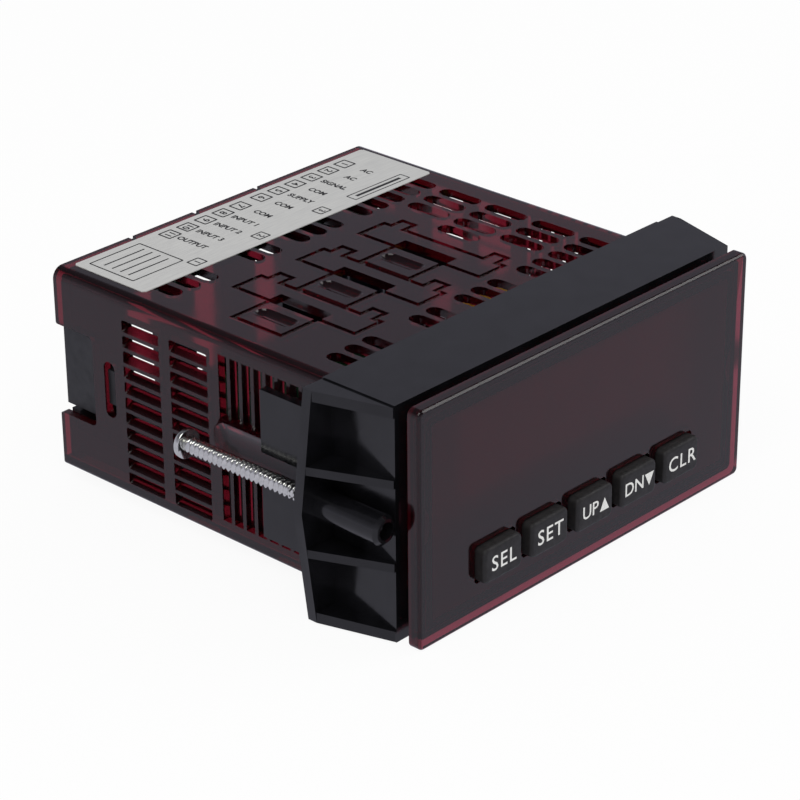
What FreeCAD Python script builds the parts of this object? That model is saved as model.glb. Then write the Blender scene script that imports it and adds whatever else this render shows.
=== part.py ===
"""Digital panel meter: a one-piece bezel and case, its slide-in base with boards and terminals,
a rubber keypad, and a ratchet latch with two screws that clamps it in a panel.

X runs to the right as seen from the front, Y from the front to the back, Z up, in millimetres.
The origin is the centre of the bezel's rear face.
"""
import FreeCAD, Part
import math
import os

V = FreeCAD.Vector

# Bezel and case, one moulding that is open at the rear
BEZEL_W = 97.7
BEZEL_H = 50.0
BEZEL_T = 2.8
BEZEL_CORNER_R = 1.5
BEZEL_EDGE_CUT = 0.5
BEZEL_LIP_W = 3.15
BEZEL_LIP_H = 2.775
CASE_L = 100.1
WALL = 1.8
CASE_TOP_R = 2.5
CASE_BOTTOM_R = 1.0
INNER_R_MIN = 0.3

# Round-ended vents in the top wall, in rows along the depth
VENT_W = 3.5
VENT_L = 10.9
VENT_PITCH = 4.91
VENT_ROW_FIRST = 25.27
VENT_ROW_PITCH = 12.88
VENT_RIGHT_X = 36.8
VENT_FROM_BAY = -3.29
VENT_END_FLATS = 5
# Option bays behind the rear cover, and the outlines moulded over them
BAY_FIRST_X = -24.38
BAY_PITCH = 18.0
BAYS = 3
GROOVE_W = 1.14
GROOVE_DEPTH = 0.6
MARK_Y = 49.66
STRIP_HALF_L = 16.42
STRIP_LEFT = -3.27
STRIP_RIGHT = 4.07
EAR_RIGHT = 7.5
EAR_OUTER = 14.45
EAR_INNER = 11.0
CELL_LEFT = -13.34
CELL_HALF_L = 6.53
SLIT_W = 4.25
DISH_X = -8.13
DISH_HALF_W = 1.97
DISH_L = 10.7
DISH_DEPTH = 0.9
RIM_NOTCH_W = 1.2
RIM_NOTCH_L = 1.0

# Louvred vents in the side walls, two columns that slope up inwards
LOUVRE_L = 10.6
LOUVRE_H = 2.58
LOUVRE_PITCH = 3.394
LOUVRE_PLAIN_H = 5.0
LOUVRE_MID_Z = -1.35
LOUVRE_RISE = 1.0
LOUVRE_COLUMNS = (61.07, 74.72)

# Ladder of ratchet slots, screw channel, snap slot and finger notch in the side walls
LADDER_W = 2.33
LADDER_PITCH = 3.25
LADDER_SLOTS = 10
LADDER_LAST_Y = 51.4
LADDER_Z0 = 4.5
LADDER_TOP_GAP = 4.075
CHANNEL_HALF_W = 3.77
CHANNEL_DEPTH = 1.1
CHANNEL_END = 54.85
SNAP_SLOT_Y = 84.45
SNAP_SLOT_W = 3.19
SNAP_SLOT_H = 12.38
NOTCH_L = 10.8
NOTCH_HALF_H = 9.97
NOTCH_R = 1.2

# Vents in the bottom wall
FLOOR_VENT_ROWS = (1, 3)
FLOOR_VENT_COLUMNS = 6
FLOOR_VENT_PITCH = 9.8
FLOOR_VENT_MID_X = -10.0

# Keys and the rubber mat behind the front wall
KEY_COUNT = 5
KEY_PITCH = 13.57
KEY_MID_X = -0.64
KEY_RISE = 9.535
KEY_W = 10.9
KEY_H = 7.5
KEY_PROUD = 2.35
KEY_CORNER_R = 1.2
KEY_EDGE_CUT = 0.55
KEY_TRAVEL = 1.0
KEY_FIT = 0.35
KEY_FLANGE = 0.9
KEY_FLANGE_T = 1.0
KEY_FLANGE_GAP = 0.15
KEY_STEM_INSET = 0.75
KEY_END_GAP = 0.1
PILL_HALF = 1.8
MAT_T = 1.2
MAT_MARGIN = 2.5
MAT_COLLAR_T = 1.0
MAT_COLLAR_H = 4.2

# Boards and what stands on them
BOARD_T = 1.6
BOARD_EDGE_GAP = 0.6
DISPLAY_BOARD_Y = 9.5
DIGIT_COUNT = 5
DIGIT_W = 12.5
DIGIT_H = 19.0
DIGIT_D = 8.0
DIGIT_PITCH = 12.6
DIGIT_MID_X = -3.6
DIGIT_TOP_GAP = 1.325
DIGIT_FACE_INSET = 0.8
DIGIT_FACE_STEP = 0.5
MAIN_BOARD_RISE = 3.825
MAIN_BOARD_END_GAP = 0.5
HEADER_W = 50.0
HEADER_D = 5.0
HEADER_H = 6.0
CORE_W = 25.0
CORE_D = 30.0
CORE_H = 10.0
CORE_X = 29.0
CORE_Y = 40.0
CORE_LIFT = 6.5
COIL_W = 20.0
COIL_D = 21.0
COIL_H = 23.0
CAPACITOR_R = 5.0
CAPACITOR_H = 20.0
CAPACITOR_X = 29.0
CAPACITOR_END_GAP = 1.5
CAPACITOR_PITCH = 11.0
CAPACITOR_COUNT = 2
CHIP_SIDE = 12.0
CHIP_T = 2.2
CHIP_X = -34.0
CHIP_Y = 34.0
CONNECTOR_W = 5.0
CONNECTOR_L = 26.0
CONNECTOR_H = 8.5
CONNECTOR_MID_Y = 40.0
CONNECTOR_SLOT_W = 1.8
CONNECTOR_SLOT_DEPTH = 6.0

# Slide-in base: rear cover, board rails and sprung finger tabs
BASE_FIT = 0.2
COVER_T = 2.4
COVER_INSET = 1.2
RAIL_W = 2.6
RAIL_H = 5.2
RAIL_GROOVE = 1.4
RAIL_GROOVE_FIT = 0.1
RAIL_FRONT_GAP = 1.5
TAB_T = 1.6
TAB_HALF_H = 8.6
TAB_L = 12.0
ARM_HALF_H = 3.6
TAB_ROOT_Y = 60.0
TAB_ROOT_L = 6.0
TAB_GAP = 0.8
HOOK_L = 1.9
HOOK_H = 7.6
HOOK_BITE = 0.8
HOOK_GAP = 0.1
OPTION_W = 7.8
OPTION_LEFT = -4.1
OPTION_RISE = 1.0
OPTION_TOP_GAP = 2.7

# Terminal blocks, numbered from the right as seen from the front
POLE_PITCH = 5.08
POLE_COUNTS = (6, 5)
POLE_FIRST_X = 33.63
BLOCK_STEP = 6.2
BLOCK_END = 0.25
BLOCK_TOP_GAP = 1.125
BLOCK_H = 6.3
BLOCK_D = 6.2
BLOCK_FIT = 0.15
ENTRY_W = 2.8
ENTRY_H = 2.4
ENTRY_D = 4.0
ENTRY_UP = 0.4
SCREW_WELL_R = 1.45
SCREW_WELL_D = 2.6
SCREW_WELL_UP = 4.55
CLAMP_SCREW_FIT = 0.1
CLAMP_SCREW_L = 1.6
CLAMP_SLOT_W = 0.5
CLAMP_SLOT_DEPTH = 0.7
RISER_LEG_W = 13.0
RISER_LEG_RIGHT = 40.0

# Label on the top wall
LABEL_W = 84.3
LABEL_L = 20.7
LABEL_T = 0.15
LABEL_X = 0.34
LABEL_REAR_GAP = 2.1
LABEL_CLIP = 0.6

# Gasket behind the bezel
GASKET_T = 0.8
GASKET_FIT = 0.25
GASKET_INSET = 1.5

# Panel latch: collar, wings, bosses and toothed tongues
LATCH_GAP = 2.85
LATCH_L = 18.05
LATCH_WALL = 2.2
LATCH_SIDE_WALL = 3.1
LATCH_FIT = 0.35
WING_T = 2.2
WING_STEP = 0.3
WING_REACH_MID = 8.5
WING_REACH_END = 5.2
WING_REACH_FRONT = 0.4
RIB_Z = 7.85
RIB_T = 1.75
BOSS_R = 3.1
BOSS_EDGE_CUT = 0.7
BOSS_WEB_T = 2.4
SCREW_OFFSET = 2.45
TONGUE_T = 1.9
TONGUE_TAIL = 7.1
TONGUE_Z0 = 2.5
TONGUE_TOP_GAP = 2.25
TOOTH_L = 1.6
TOOTH_BITE = 1.1
TOOTH_MARGIN = 0.8
TOOTH_STEP = 6

# Latch screws
SCREW_R = 1.75
SCREW_FIT = 0.05
SCREW_L = 48.9
SCREW_TIP_INSET = 3.6
SCREW_TIP_CONE = 1.2
HEAD_R = 3.1
HEAD_T = 2.0
HEAD_RIM_T = 1.1
HEAD_CROWN_R = 2.2
DRIVE_W = 0.9
DRIVE_DEPTH = 0.9

# Places worked out from the sizes above
CASE_SIDE = BEZEL_W / 2 - BEZEL_LIP_W
CASE_TOP = BEZEL_H / 2 - BEZEL_LIP_H
INNER_SIDE = CASE_SIDE - WALL
INNER_TOP = CASE_TOP - WALL
LATCH_INNER = CASE_SIDE + LATCH_FIT
LATCH_SIDE = LATCH_INNER + LATCH_SIDE_WALL
LATCH_INNER_TOP = CASE_TOP + LATCH_FIT
LATCH_TOP = LATCH_INNER_TOP + LATCH_WALL
LATCH_BACK = LATCH_GAP + LATCH_L
WING_TOP = LATCH_TOP - WING_STEP
SCREW_X = LATCH_SIDE + SCREW_OFFSET
MAIN_BOARD_Z = -INNER_TOP + MAIN_BOARD_RISE
MAIN_BOARD_TOP = MAIN_BOARD_Z + BOARD_T
DISPLAY_BOARD_BACK = DISPLAY_BOARD_Y + BOARD_T
BASE_SIDE = INNER_SIDE - BASE_FIT
BASE_TOP = INNER_TOP - BASE_FIT
COVER_BACK = CASE_L - COVER_INSET
COVER_FRONT = COVER_BACK - COVER_T
MAIN_BOARD_END = COVER_FRONT - MAIN_BOARD_END_GAP
BLOCK_FRONT = COVER_BACK - BLOCK_D
BLOCK_Z0 = INNER_TOP - BLOCK_TOP_GAP - BLOCK_H
OPTION_Z0 = MAIN_BOARD_TOP + OPTION_RISE
OPTION_Z1 = BLOCK_Z0 - OPTION_TOP_GAP
LADDER_Z1 = CASE_TOP - LADDER_TOP_GAP
TONGUE_Z1 = LADDER_Z1 - TONGUE_TOP_GAP
LOUVRES = int((2 * CASE_TOP - LOUVRE_PLAIN_H) / LOUVRE_PITCH)
KEY_Z = -CASE_TOP + KEY_RISE
DIGIT_Z = INNER_TOP - DIGIT_TOP_GAP - DIGIT_H / 2
CAPACITOR_REAR = BLOCK_FRONT - BOARD_T - CAPACITOR_END_GAP - CAPACITOR_R
LABEL_FRONT = CASE_L - LABEL_REAR_GAP - LABEL_L
BAY_XS = [BAY_FIRST_X + i * BAY_PITCH for i in range(BAYS)]
CAPACITOR_YS = [CAPACITOR_REAR - i * CAPACITOR_PITCH for i in range(CAPACITOR_COUNT)]
KEY_XS = [KEY_MID_X + (i - (KEY_COUNT - 1) / 2) * KEY_PITCH for i in range(KEY_COUNT)]
OVERCUT = 1.0


def flat_point(plane, u, v, w):
    """A point given by two coordinates in a plane and its distance along the plane's normal axis."""
    return {"xy": V(u, v, w), "xz": V(u, w, v), "yz": V(w, u, v)}[plane]


def rect(u0, u1, v0, v1, radius=0.0):
    """Corners of a rectangle, each with the radius of its round."""
    return [(u0, v0, radius), (u1, v0, radius), (u1, v1, radius), (u0, v1, radius)]


def clipped(u0, u1, v0, v1, clip):
    """Corners of a rectangle with its four corners cut off at 45 degrees."""
    points = [(u0 + clip, v0), (u1 - clip, v0), (u1, v0 + clip), (u1, v1 - clip)]
    points += [(u1 - clip, v1), (u0 + clip, v1), (u0, v1 - clip), (u0, v0 + clip)]
    return [(u, v, 0.0) for u, v in points]


def outline(plane, corners, w):
    """Closed wire through the corners, with a tangent arc at each corner that has a radius."""
    spans = []
    for i, (u, v, radius) in enumerate(corners):
        before = V(corners[i - 1][0], corners[i - 1][1], 0)
        after = V(corners[(i + 1) % len(corners)][0], corners[(i + 1) % len(corners)][1], 0)
        here = V(u, v, 0)
        way_in = (here - before).normalize()
        way_out = (after - here).normalize()
        half_turn = way_in.getAngle(way_out) / 2
        reach = radius * math.tan(half_turn)
        inward = (way_out - way_in).normalize()
        middle = here + inward * (radius / math.cos(half_turn) - radius)
        spans.append((here - way_in * reach, middle, here + way_out * reach))
    edges = []
    for i, (start, middle, end) in enumerate(spans):
        points = [flat_point(plane, p.x, p.y, w) for p in (start, middle, end)]
        if corners[i][2] > 0:
            edges.append(Part.Arc(*points).toShape())
        onward = spans[(i + 1) % len(spans)][0]
        onward = flat_point(plane, onward.x, onward.y, w)
        if points[2].distanceToPoint(onward) > 1e-6:
            edges.append(Part.LineSegment(points[2], onward).toShape())
    return Part.Wire(edges)


def upright(solid):
    """The solid with its faces turned outwards."""
    if solid.Volume < 0:
        solid.reverse()
    return solid


def prism(plane, corners, low, high):
    """Outline in a plane, carried along the plane's normal from low to high."""
    return upright(Part.Face(outline(plane, corners, low)).extrude(flat_point(plane, 0, 0, high - low)))


def box(x0, x1, y0, y1, z0, z1):
    return Part.makeBox(x1 - x0, y1 - y0, z1 - z0, V(x0, y0, z0))


def rod(radius, x, z, y0, y1):
    """Cylinder along the depth."""
    return Part.makeCylinder(radius, y1 - y0, V(x, y0, z), V(0, 1, 0))


def mirrored(shape):
    return shape.mirror(V(0, 0, 0), V(1, 0, 0))


def both_sides(shapes):
    return shapes + [mirrored(s) for s in shapes]


def joined(shapes):
    """One solid from pieces that touch or overlap, without leftover seams."""
    return shapes[0].fuse(shapes[1:]).removeSplitter()


def edges_at_depth(shape, y):
    """Edges that lie wholly at one depth."""
    return [e for e in shape.Edges if abs(e.BoundBox.YMin - y) < 1e-4 and abs(e.BoundBox.YMax - y) < 1e-4]


def case_outline(grow, top_r, bottom_r):
    """Section of the case: flat walls, a wide round along the top edges and a small one below."""
    x = CASE_SIDE + grow
    z = CASE_TOP + grow
    return [(-x, -z, bottom_r), (x, -z, bottom_r), (x, z, top_r), (-x, z, top_r)]


def scoop(half_width, depth, y0, y1, surface, outward, open_front=False):
    """Round-bottomed groove along the depth, with ball ends, sunk into a flat surface."""
    radius = (half_width ** 2 + depth ** 2) / (2 * depth)
    axis = surface + outward * (radius - depth)
    front = y0 if open_front else y0 + half_width
    back = y1 - half_width
    slant = radius * math.sqrt(0.5)
    edges = [Part.LineSegment(V(0, front, radius), V(0, back, radius)).toShape()]
    edges.append(Part.Arc(V(0, back, radius), V(0, back + slant, slant), V(0, back + radius, 0)).toShape())
    if open_front:
        edges.append(Part.LineSegment(V(0, back + radius, 0), V(0, front, 0)).toShape())
        edges.append(Part.LineSegment(V(0, front, 0), V(0, front, radius)).toShape())
    else:
        edges.append(Part.LineSegment(V(0, back + radius, 0), V(0, front - radius, 0)).toShape())
        arc = Part.Arc(V(0, front - radius, 0), V(0, front - slant, slant), V(0, front, radius))
        edges.append(arc.toShape())
    half = Part.Face(Part.Wire(edges))
    solid = upright(half.revolve(V(0, 0, 0), V(0, 1, 0), 360))
    solid.translate(axis)
    return solid


def vent_columns():
    """Places of the top vents across the case: beside the bays, and evenly at the right."""
    beside = [x + VENT_FROM_BAY - i * VENT_PITCH for x in BAY_XS for i in range(BAYS)]
    skipped = BAY_XS[1] + VENT_FROM_BAY - 2 * VENT_PITCH
    right = [VENT_RIGHT_X - i * VENT_PITCH for i in range(5)]
    return [x for x in beside if abs(x - skipped) > VENT_W / 2], right


def vent_outline(x, y):
    """Slot whose round ends are a few flats each; it ends square where the label hides its back."""
    radius = VENT_W / 2
    reach = VENT_L / 2 - radius
    turns = [math.pi * i / VENT_END_FLATS for i in range(VENT_END_FLATS + 1)]
    back = [(x + radius * math.cos(t), y + reach + radius * math.sin(t), 0) for t in turns]
    front = [(x - radius * math.cos(t), y - reach - radius * math.sin(t), 0) for t in turns]
    if y + VENT_L / 2 > LABEL_FRONT:
        back = [(x + radius, y + VENT_L / 2, 0), (x - radius, y + VENT_L / 2, 0)]
    return back + front


def top_vents():
    beside, right = vent_columns()
    places = [(x, 0) for x in beside + right] + [(x, 4) for x in beside + right]
    places += [(x, 1) for x in right[:3]] + [(x, 2) for x in right[:4]] + [(x, 3) for x in right[:3]]
    slots = []
    for x, row in places:
        corners = vent_outline(x, VENT_ROW_FIRST + row * VENT_ROW_PITCH)
        slots.append(prism("xy", corners, INNER_TOP - OVERCUT, CASE_TOP + OVERCUT))
    return slots


def floor_vents():
    slots = []
    for row in FLOOR_VENT_ROWS:
        y = VENT_ROW_FIRST + row * VENT_ROW_PITCH
        for i in range(FLOOR_VENT_COLUMNS):
            x = FLOOR_VENT_MID_X + (i - (FLOOR_VENT_COLUMNS - 1) / 2) * FLOOR_VENT_PITCH
            slots.append(box(x - VENT_W / 2, x + VENT_W / 2, y - VENT_L / 2, y + VENT_L / 2,
                             -CASE_TOP - OVERCUT, -INNER_TOP + OVERCUT))
    return slots


def side_louvres():
    """Slots of the left wall, each swept inwards and upwards, and their mirror images."""
    slots = []
    slope = LOUVRE_RISE / WALL
    depth = WALL + 2 * OVERCUT
    for y in LOUVRE_COLUMNS:
        for i in range(LOUVRES):
            z = LOUVRE_MID_Z + (i - (LOUVRES - 1) / 2) * LOUVRE_PITCH - slope * OVERCUT
            corners = rect(y - LOUVRE_L / 2, y + LOUVRE_L / 2, z - LOUVRE_H / 2, z + LOUVRE_H / 2)
            face = Part.Face(outline("yz", corners, -CASE_SIDE - OVERCUT))
            slots.append(upright(face.extrude(V(depth, 0, slope * depth))))
    return both_sides(slots)


def through_sides(corners):
    """Opening cut straight through both side walls."""
    return prism("yz", corners, -CASE_SIDE - OVERCUT, CASE_SIDE + OVERCUT)


def side_openings():
    """Ratchet ladder, snap slot and finger notch, the same in both side walls."""
    cuts = []
    for i in range(LADDER_SLOTS):
        y = LADDER_LAST_Y - i * LADDER_PITCH
        for z0, z1 in ((LADDER_Z0, LADDER_Z1), (-LADDER_Z1, -LADDER_Z0)):
            cuts.append(through_sides(rect(y - LADDER_W / 2, y + LADDER_W / 2, z0, z1)))
    half_w = SNAP_SLOT_W / 2
    half_h = SNAP_SLOT_H / 2
    cuts.append(through_sides(rect(SNAP_SLOT_Y - half_w, SNAP_SLOT_Y + half_w, -half_h, half_h, half_w)))
    y0 = CASE_L - NOTCH_L
    y1 = CASE_L + OVERCUT
    notch = [(y0, -NOTCH_HALF_H, NOTCH_R), (y1, -NOTCH_HALF_H, 0)]
    notch += [(y1, NOTCH_HALF_H, 0), (y0, NOTCH_HALF_H, NOTCH_R)]
    cuts.append(through_sides(notch))
    return cuts


def screw_channels():
    side = V(-CASE_SIDE, 0, 0)
    channel = scoop(CHANNEL_HALF_W, CHANNEL_DEPTH, 0, CHANNEL_END, side, V(-1, 0, 0), open_front=True)
    return both_sides([channel])


def groove_line(x0, x1, y0, y1):
    """One straight groove in the top wall, from centre line to centre line."""
    half = GROOVE_W / 2
    return box(x0 - half, x1 + half, y0 - half, y1 + half, CASE_TOP - GROOVE_DEPTH, CASE_TOP + OVERCUT)


def bay_marks(x):
    """Outline moulded over one option bay: a strip with two ears, a cell with a dish, and a slit."""
    left, right, ear = x + STRIP_LEFT, x + STRIP_RIGHT, x + EAR_RIGHT
    low, high = MARK_Y - STRIP_HALF_L, MARK_Y + STRIP_HALF_L
    lines = [groove_line(left, left, low, high)]
    lines.append(groove_line(right, right, MARK_Y - EAR_INNER, MARK_Y + EAR_INNER))
    for end, sign in ((low, -1), (high, 1)):
        outer, inner = MARK_Y + sign * EAR_OUTER, MARK_Y + sign * EAR_INNER
        lines.append(groove_line(left, right, end, end))
        lines.append(groove_line(right, right, min(outer, end), max(outer, end)))
        lines.append(groove_line(right, ear, outer, outer))
        lines.append(groove_line(ear, ear, min(outer, inner), max(outer, inner)))
        lines.append(groove_line(right, ear, inner, inner))
        cell = MARK_Y + sign * CELL_HALF_L
        lines.append(groove_line(x + CELL_LEFT, left, cell, cell))
    lines.append(groove_line(x + CELL_LEFT, x + CELL_LEFT, MARK_Y - CELL_HALF_L, MARK_Y + CELL_HALF_L))
    slit_left = left - GROOVE_W / 2
    slit_half = CELL_HALF_L + GROOVE_W / 2
    slit = box(slit_left, slit_left + SLIT_W, MARK_Y - slit_half, MARK_Y + slit_half,
               INNER_TOP - OVERCUT, CASE_TOP + OVERCUT)
    dish = scoop(DISH_HALF_W, DISH_DEPTH, MARK_Y - DISH_L / 2, MARK_Y + DISH_L / 2,
                 V(x + DISH_X, 0, CASE_TOP), V(0, 0, 1))
    return lines + [slit, dish]


def key_windows():
    windows = []
    for x in KEY_XS:
        w, h = KEY_W / 2 + KEY_FIT, KEY_H / 2 + KEY_FIT
        corners = clipped(x - w, x + w, KEY_Z - h, KEY_Z + h, KEY_CORNER_R / 2)
        windows.append(prism("xz", corners, -BEZEL_T - OVERCUT, OVERCUT))
    return windows


def case():
    x, z = BEZEL_W / 2, BEZEL_H / 2
    bezel = prism("xz", rect(-x, x, -z, z, BEZEL_CORNER_R), -BEZEL_T, 0)
    bezel = bezel.makeChamfer(BEZEL_EDGE_CUT, edges_at_depth(bezel, -BEZEL_T))
    body = prism("xz", case_outline(0, CASE_TOP_R, CASE_BOTTOM_R), 0, CASE_L)
    inner_top_r = max(CASE_TOP_R - WALL, INNER_R_MIN)
    inner_bottom_r = max(CASE_BOTTOM_R - WALL, INNER_R_MIN)
    hollow = prism("xz", case_outline(-WALL, inner_top_r, inner_bottom_r), 0, CASE_L + OVERCUT)
    shell = body.cut(hollow)
    marks = [m for x in BAY_XS for m in bay_marks(x)]
    notches = [box(x - RIM_NOTCH_W / 2, x + RIM_NOTCH_W / 2, CASE_L - RIM_NOTCH_L, CASE_L + OVERCUT,
                   INNER_TOP - OVERCUT, CASE_TOP + OVERCUT) for x in BAY_XS]
    vents = side_louvres() + top_vents() + floor_vents()
    for cuts in (screw_channels(), side_openings(), vents, marks, notches):
        shell = shell.cut(cuts)
    return joined([shell, bezel.cut(key_windows())])


def panel_gasket():
    x, z = BEZEL_W / 2 - GASKET_INSET, BEZEL_H / 2 - GASKET_INSET
    frame = prism("xz", clipped(-x, x, -z, z, BEZEL_CORNER_R / 2), 0, GASKET_T)
    x, z = CASE_SIDE + GASKET_FIT, CASE_TOP + GASKET_FIT
    hole = clipped(-x, x, -z, z, CASE_BOTTOM_R / 2)
    return frame.cut(prism("xz", hole, -OVERCUT, GASKET_T + OVERCUT))


def key(x):
    """Rubber key: head with bevelled edges, flange behind the front wall, stem and contact pill."""
    front = -BEZEL_T - KEY_PROUD
    sheet_front = DISPLAY_BOARD_Y - MAT_T
    stem_end = sheet_front - KEY_TRAVEL - KEY_END_GAP
    pill_end = DISPLAY_BOARD_Y - KEY_TRAVEL - KEY_END_GAP
    flange_front = KEY_FLANGE_GAP
    flange_back = flange_front + KEY_FLANGE_T

    def block(grow, radius, y0, y1):
        w, h = KEY_W / 2 + grow, KEY_H / 2 + grow
        return prism("xz", rect(x - w, x + w, KEY_Z - h, KEY_Z + h, radius), y0, y1)

    head = block(0, KEY_CORNER_R, front, flange_front)
    head = head.makeChamfer(KEY_EDGE_CUT, edges_at_depth(head, front))
    flange = block(KEY_FLANGE, 0, flange_front, flange_back)
    stem = block(-KEY_STEM_INSET, 0, flange_back, stem_end)
    pill = box(x - PILL_HALF, x + PILL_HALF, stem_end, pill_end, KEY_Z - PILL_HALF, KEY_Z + PILL_HALF)
    return joined([head, flange, stem, pill])


def keypad_mat():
    """Rubber sheet on the display board, with a collar round each key's stem."""
    front = DISPLAY_BOARD_Y - MAT_T
    hole = KEY_FIT - KEY_STEM_INSET
    rim = hole + MAT_COLLAR_T
    half_w = (KEY_XS[-1] - KEY_XS[0] + KEY_W) / 2 + MAT_MARGIN
    half_h = KEY_H / 2 + MAT_MARGIN
    top = front - MAT_COLLAR_H

    def block(x, half_w, half_h, y0, y1):
        return box(x - half_w, x + half_w, y0, y1, KEY_Z - half_h, KEY_Z + half_h)

    sheet = block(KEY_MID_X, half_w, half_h, front, DISPLAY_BOARD_Y)
    collars, holes = [], []
    for x in KEY_XS:
        w, h = KEY_W / 2, KEY_H / 2
        collars.append(block(x, w + rim, h + rim, top, front))
        holes.append(block(x, w + hole, h + hole, top - OVERCUT, front))
        pill = PILL_HALF + KEY_FIT
        holes.append(block(x, pill, pill, front - OVERCUT, DISPLAY_BOARD_Y + OVERCUT))
    return joined([sheet] + collars).cut(holes)


def display_board():
    x, z = INNER_SIDE - BOARD_EDGE_GAP, INNER_TOP - BOARD_EDGE_GAP
    return box(-x, x, DISPLAY_BOARD_Y, DISPLAY_BOARD_BACK, -z, z)


def led_digit(i):
    """One digit of the display: a block with a stepped face."""
    x = DIGIT_MID_X + (i - (DIGIT_COUNT - 1) / 2) * DIGIT_PITCH
    face = DISPLAY_BOARD_Y - DIGIT_D
    step = face + DIGIT_FACE_STEP
    w, h = DIGIT_W / 2, DIGIT_H / 2
    inset = DIGIT_FACE_INSET
    body = box(x - w, x + w, step, DISPLAY_BOARD_Y, DIGIT_Z - h, DIGIT_Z + h)
    front = box(x - w + inset, x + w - inset, face, step, DIGIT_Z - h + inset, DIGIT_Z + h - inset)
    return joined([body, front])


def main_board():
    x = BASE_SIDE - RAIL_W + RAIL_GROOVE - RAIL_GROOVE_FIT
    return box(-x, x, DISPLAY_BOARD_BACK, MAIN_BOARD_END, MAIN_BOARD_Z, MAIN_BOARD_TOP)


def board_header():
    """Row of right-angle pins in a block, where the two boards meet."""
    half = HEADER_W / 2
    y0, z0 = DISPLAY_BOARD_BACK, MAIN_BOARD_TOP
    return box(-half, half, y0, y0 + HEADER_D, z0, z0 + HEADER_H)


def transformer_coil():
    """Wound bobbin that stands on the main board."""
    x, y = COIL_W / 2, COIL_D / 2
    z0 = MAIN_BOARD_TOP
    return box(CORE_X - x, CORE_X + x, CORE_Y - y, CORE_Y + y, z0, z0 + COIL_H).cut(transformer_core())


def transformer_core():
    """Stack of laminations: a frame round the coil with a leg through its middle."""
    low = MAIN_BOARD_TOP + CORE_LIFT
    x, y = CORE_W / 2, CORE_D / 2
    frame = box(CORE_X - x, CORE_X + x, CORE_Y - y, CORE_Y + y, low, low + CORE_H)
    window_y = COIL_D / 2
    leg = COIL_W / 4
    window = box(-COIL_W / 2, -leg, -window_y, window_y, 0, CORE_H)
    windows = [window, mirrored(window)]
    for w in windows:
        w.translate(V(CORE_X, CORE_Y, low))
    return frame.cut(windows)


def capacitor(y):
    """Can that stands on the main board."""
    return Part.makeCylinder(CAPACITOR_R, CAPACITOR_H, V(CAPACITOR_X, y, MAIN_BOARD_TOP))


def processor_chip():
    half = CHIP_SIDE / 2
    z0 = MAIN_BOARD_TOP
    return box(CHIP_X - half, CHIP_X + half, CHIP_Y - half, CHIP_Y + half, z0, z0 + CHIP_T)


def option_connector(x):
    """Card-edge connector with a long slot in its top."""
    y0, y1 = CONNECTOR_MID_Y - CONNECTOR_L / 2, CONNECTOR_MID_Y + CONNECTOR_L / 2
    top = MAIN_BOARD_TOP + CONNECTOR_H
    end_wall = (CONNECTOR_W - CONNECTOR_SLOT_W) / 2
    block = box(x - CONNECTOR_W / 2, x + CONNECTOR_W / 2, y0, y1, MAIN_BOARD_TOP, top)
    slot = box(x - CONNECTOR_SLOT_W / 2, x + CONNECTOR_SLOT_W / 2, y0 + end_wall, y1 - end_wall,
               top - CONNECTOR_SLOT_DEPTH, top + OVERCUT)
    return block.cut(slot)


def block_poles():
    """Places of the poles of each terminal block, from the right to the left."""
    blocks, x = [], POLE_FIRST_X
    for poles in POLE_COUNTS:
        places = [x - i * POLE_PITCH for i in range(poles)]
        blocks.append(places)
        x = places[-1] - BLOCK_STEP
    return blocks


def block_span(places):
    half = POLE_PITCH / 2 - BLOCK_END
    return places[-1] - half, places[0] + half


def eight_sided(half, x, y0, y1):
    """Eight-sided bar along the depth at the height of the clamp screws."""
    z = BLOCK_Z0 + SCREW_WELL_UP
    clip = half * (2 - math.sqrt(2))
    return prism("xz", clipped(x - half, x + half, z - half, z + half, clip), y0, y1)


def terminal_block(places):
    """Row of screw clamps: a wire entry and a screw well for each pole, both facing the rear."""
    x0, x1 = block_span(places)
    block = box(x0, x1, BLOCK_FRONT, COVER_BACK, BLOCK_Z0, BLOCK_Z0 + BLOCK_H)
    cuts = []
    for x in places:
        entry_z = BLOCK_Z0 + ENTRY_UP
        cuts.append(box(x - ENTRY_W / 2, x + ENTRY_W / 2, COVER_BACK - ENTRY_D, COVER_BACK + OVERCUT,
                        entry_z, entry_z + ENTRY_H))
        cuts.append(eight_sided(SCREW_WELL_R, x, COVER_BACK - SCREW_WELL_D, COVER_BACK + OVERCUT))
    return block.cut(cuts)


def terminal_screws():
    """Slotted clamp screws, one at the bottom of each screw well."""
    screws = []
    seat = COVER_BACK - SCREW_WELL_D
    z = BLOCK_Z0 + SCREW_WELL_UP
    for x in [x for places in block_poles() for x in places]:
        top = seat + CLAMP_SCREW_L
        screw = eight_sided(SCREW_WELL_R - CLAMP_SCREW_FIT, x, seat, top)
        slot = box(x - SCREW_WELL_R, x + SCREW_WELL_R, top - CLAMP_SLOT_DEPTH, top + OVERCUT,
                   z - CLAMP_SLOT_W / 2, z + CLAMP_SLOT_W / 2)
        screws.append(screw.cut(slot))
    return Part.makeCompound(screws)


def terminal_board():
    """Upright board that carries the terminal blocks, on a leg that stands on the main board."""
    spans = [block_span(places) for places in block_poles()]
    left = min(s[0] for s in spans)
    top = BLOCK_Z0 + BLOCK_H
    strip = box(left, RISER_LEG_RIGHT, BLOCK_FRONT - BOARD_T, BLOCK_FRONT, BLOCK_Z0, top)
    leg = box(RISER_LEG_RIGHT - RISER_LEG_W, RISER_LEG_RIGHT, BLOCK_FRONT - BOARD_T, BLOCK_FRONT,
              MAIN_BOARD_TOP, BLOCK_Z0)
    return joined([strip, leg])


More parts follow.
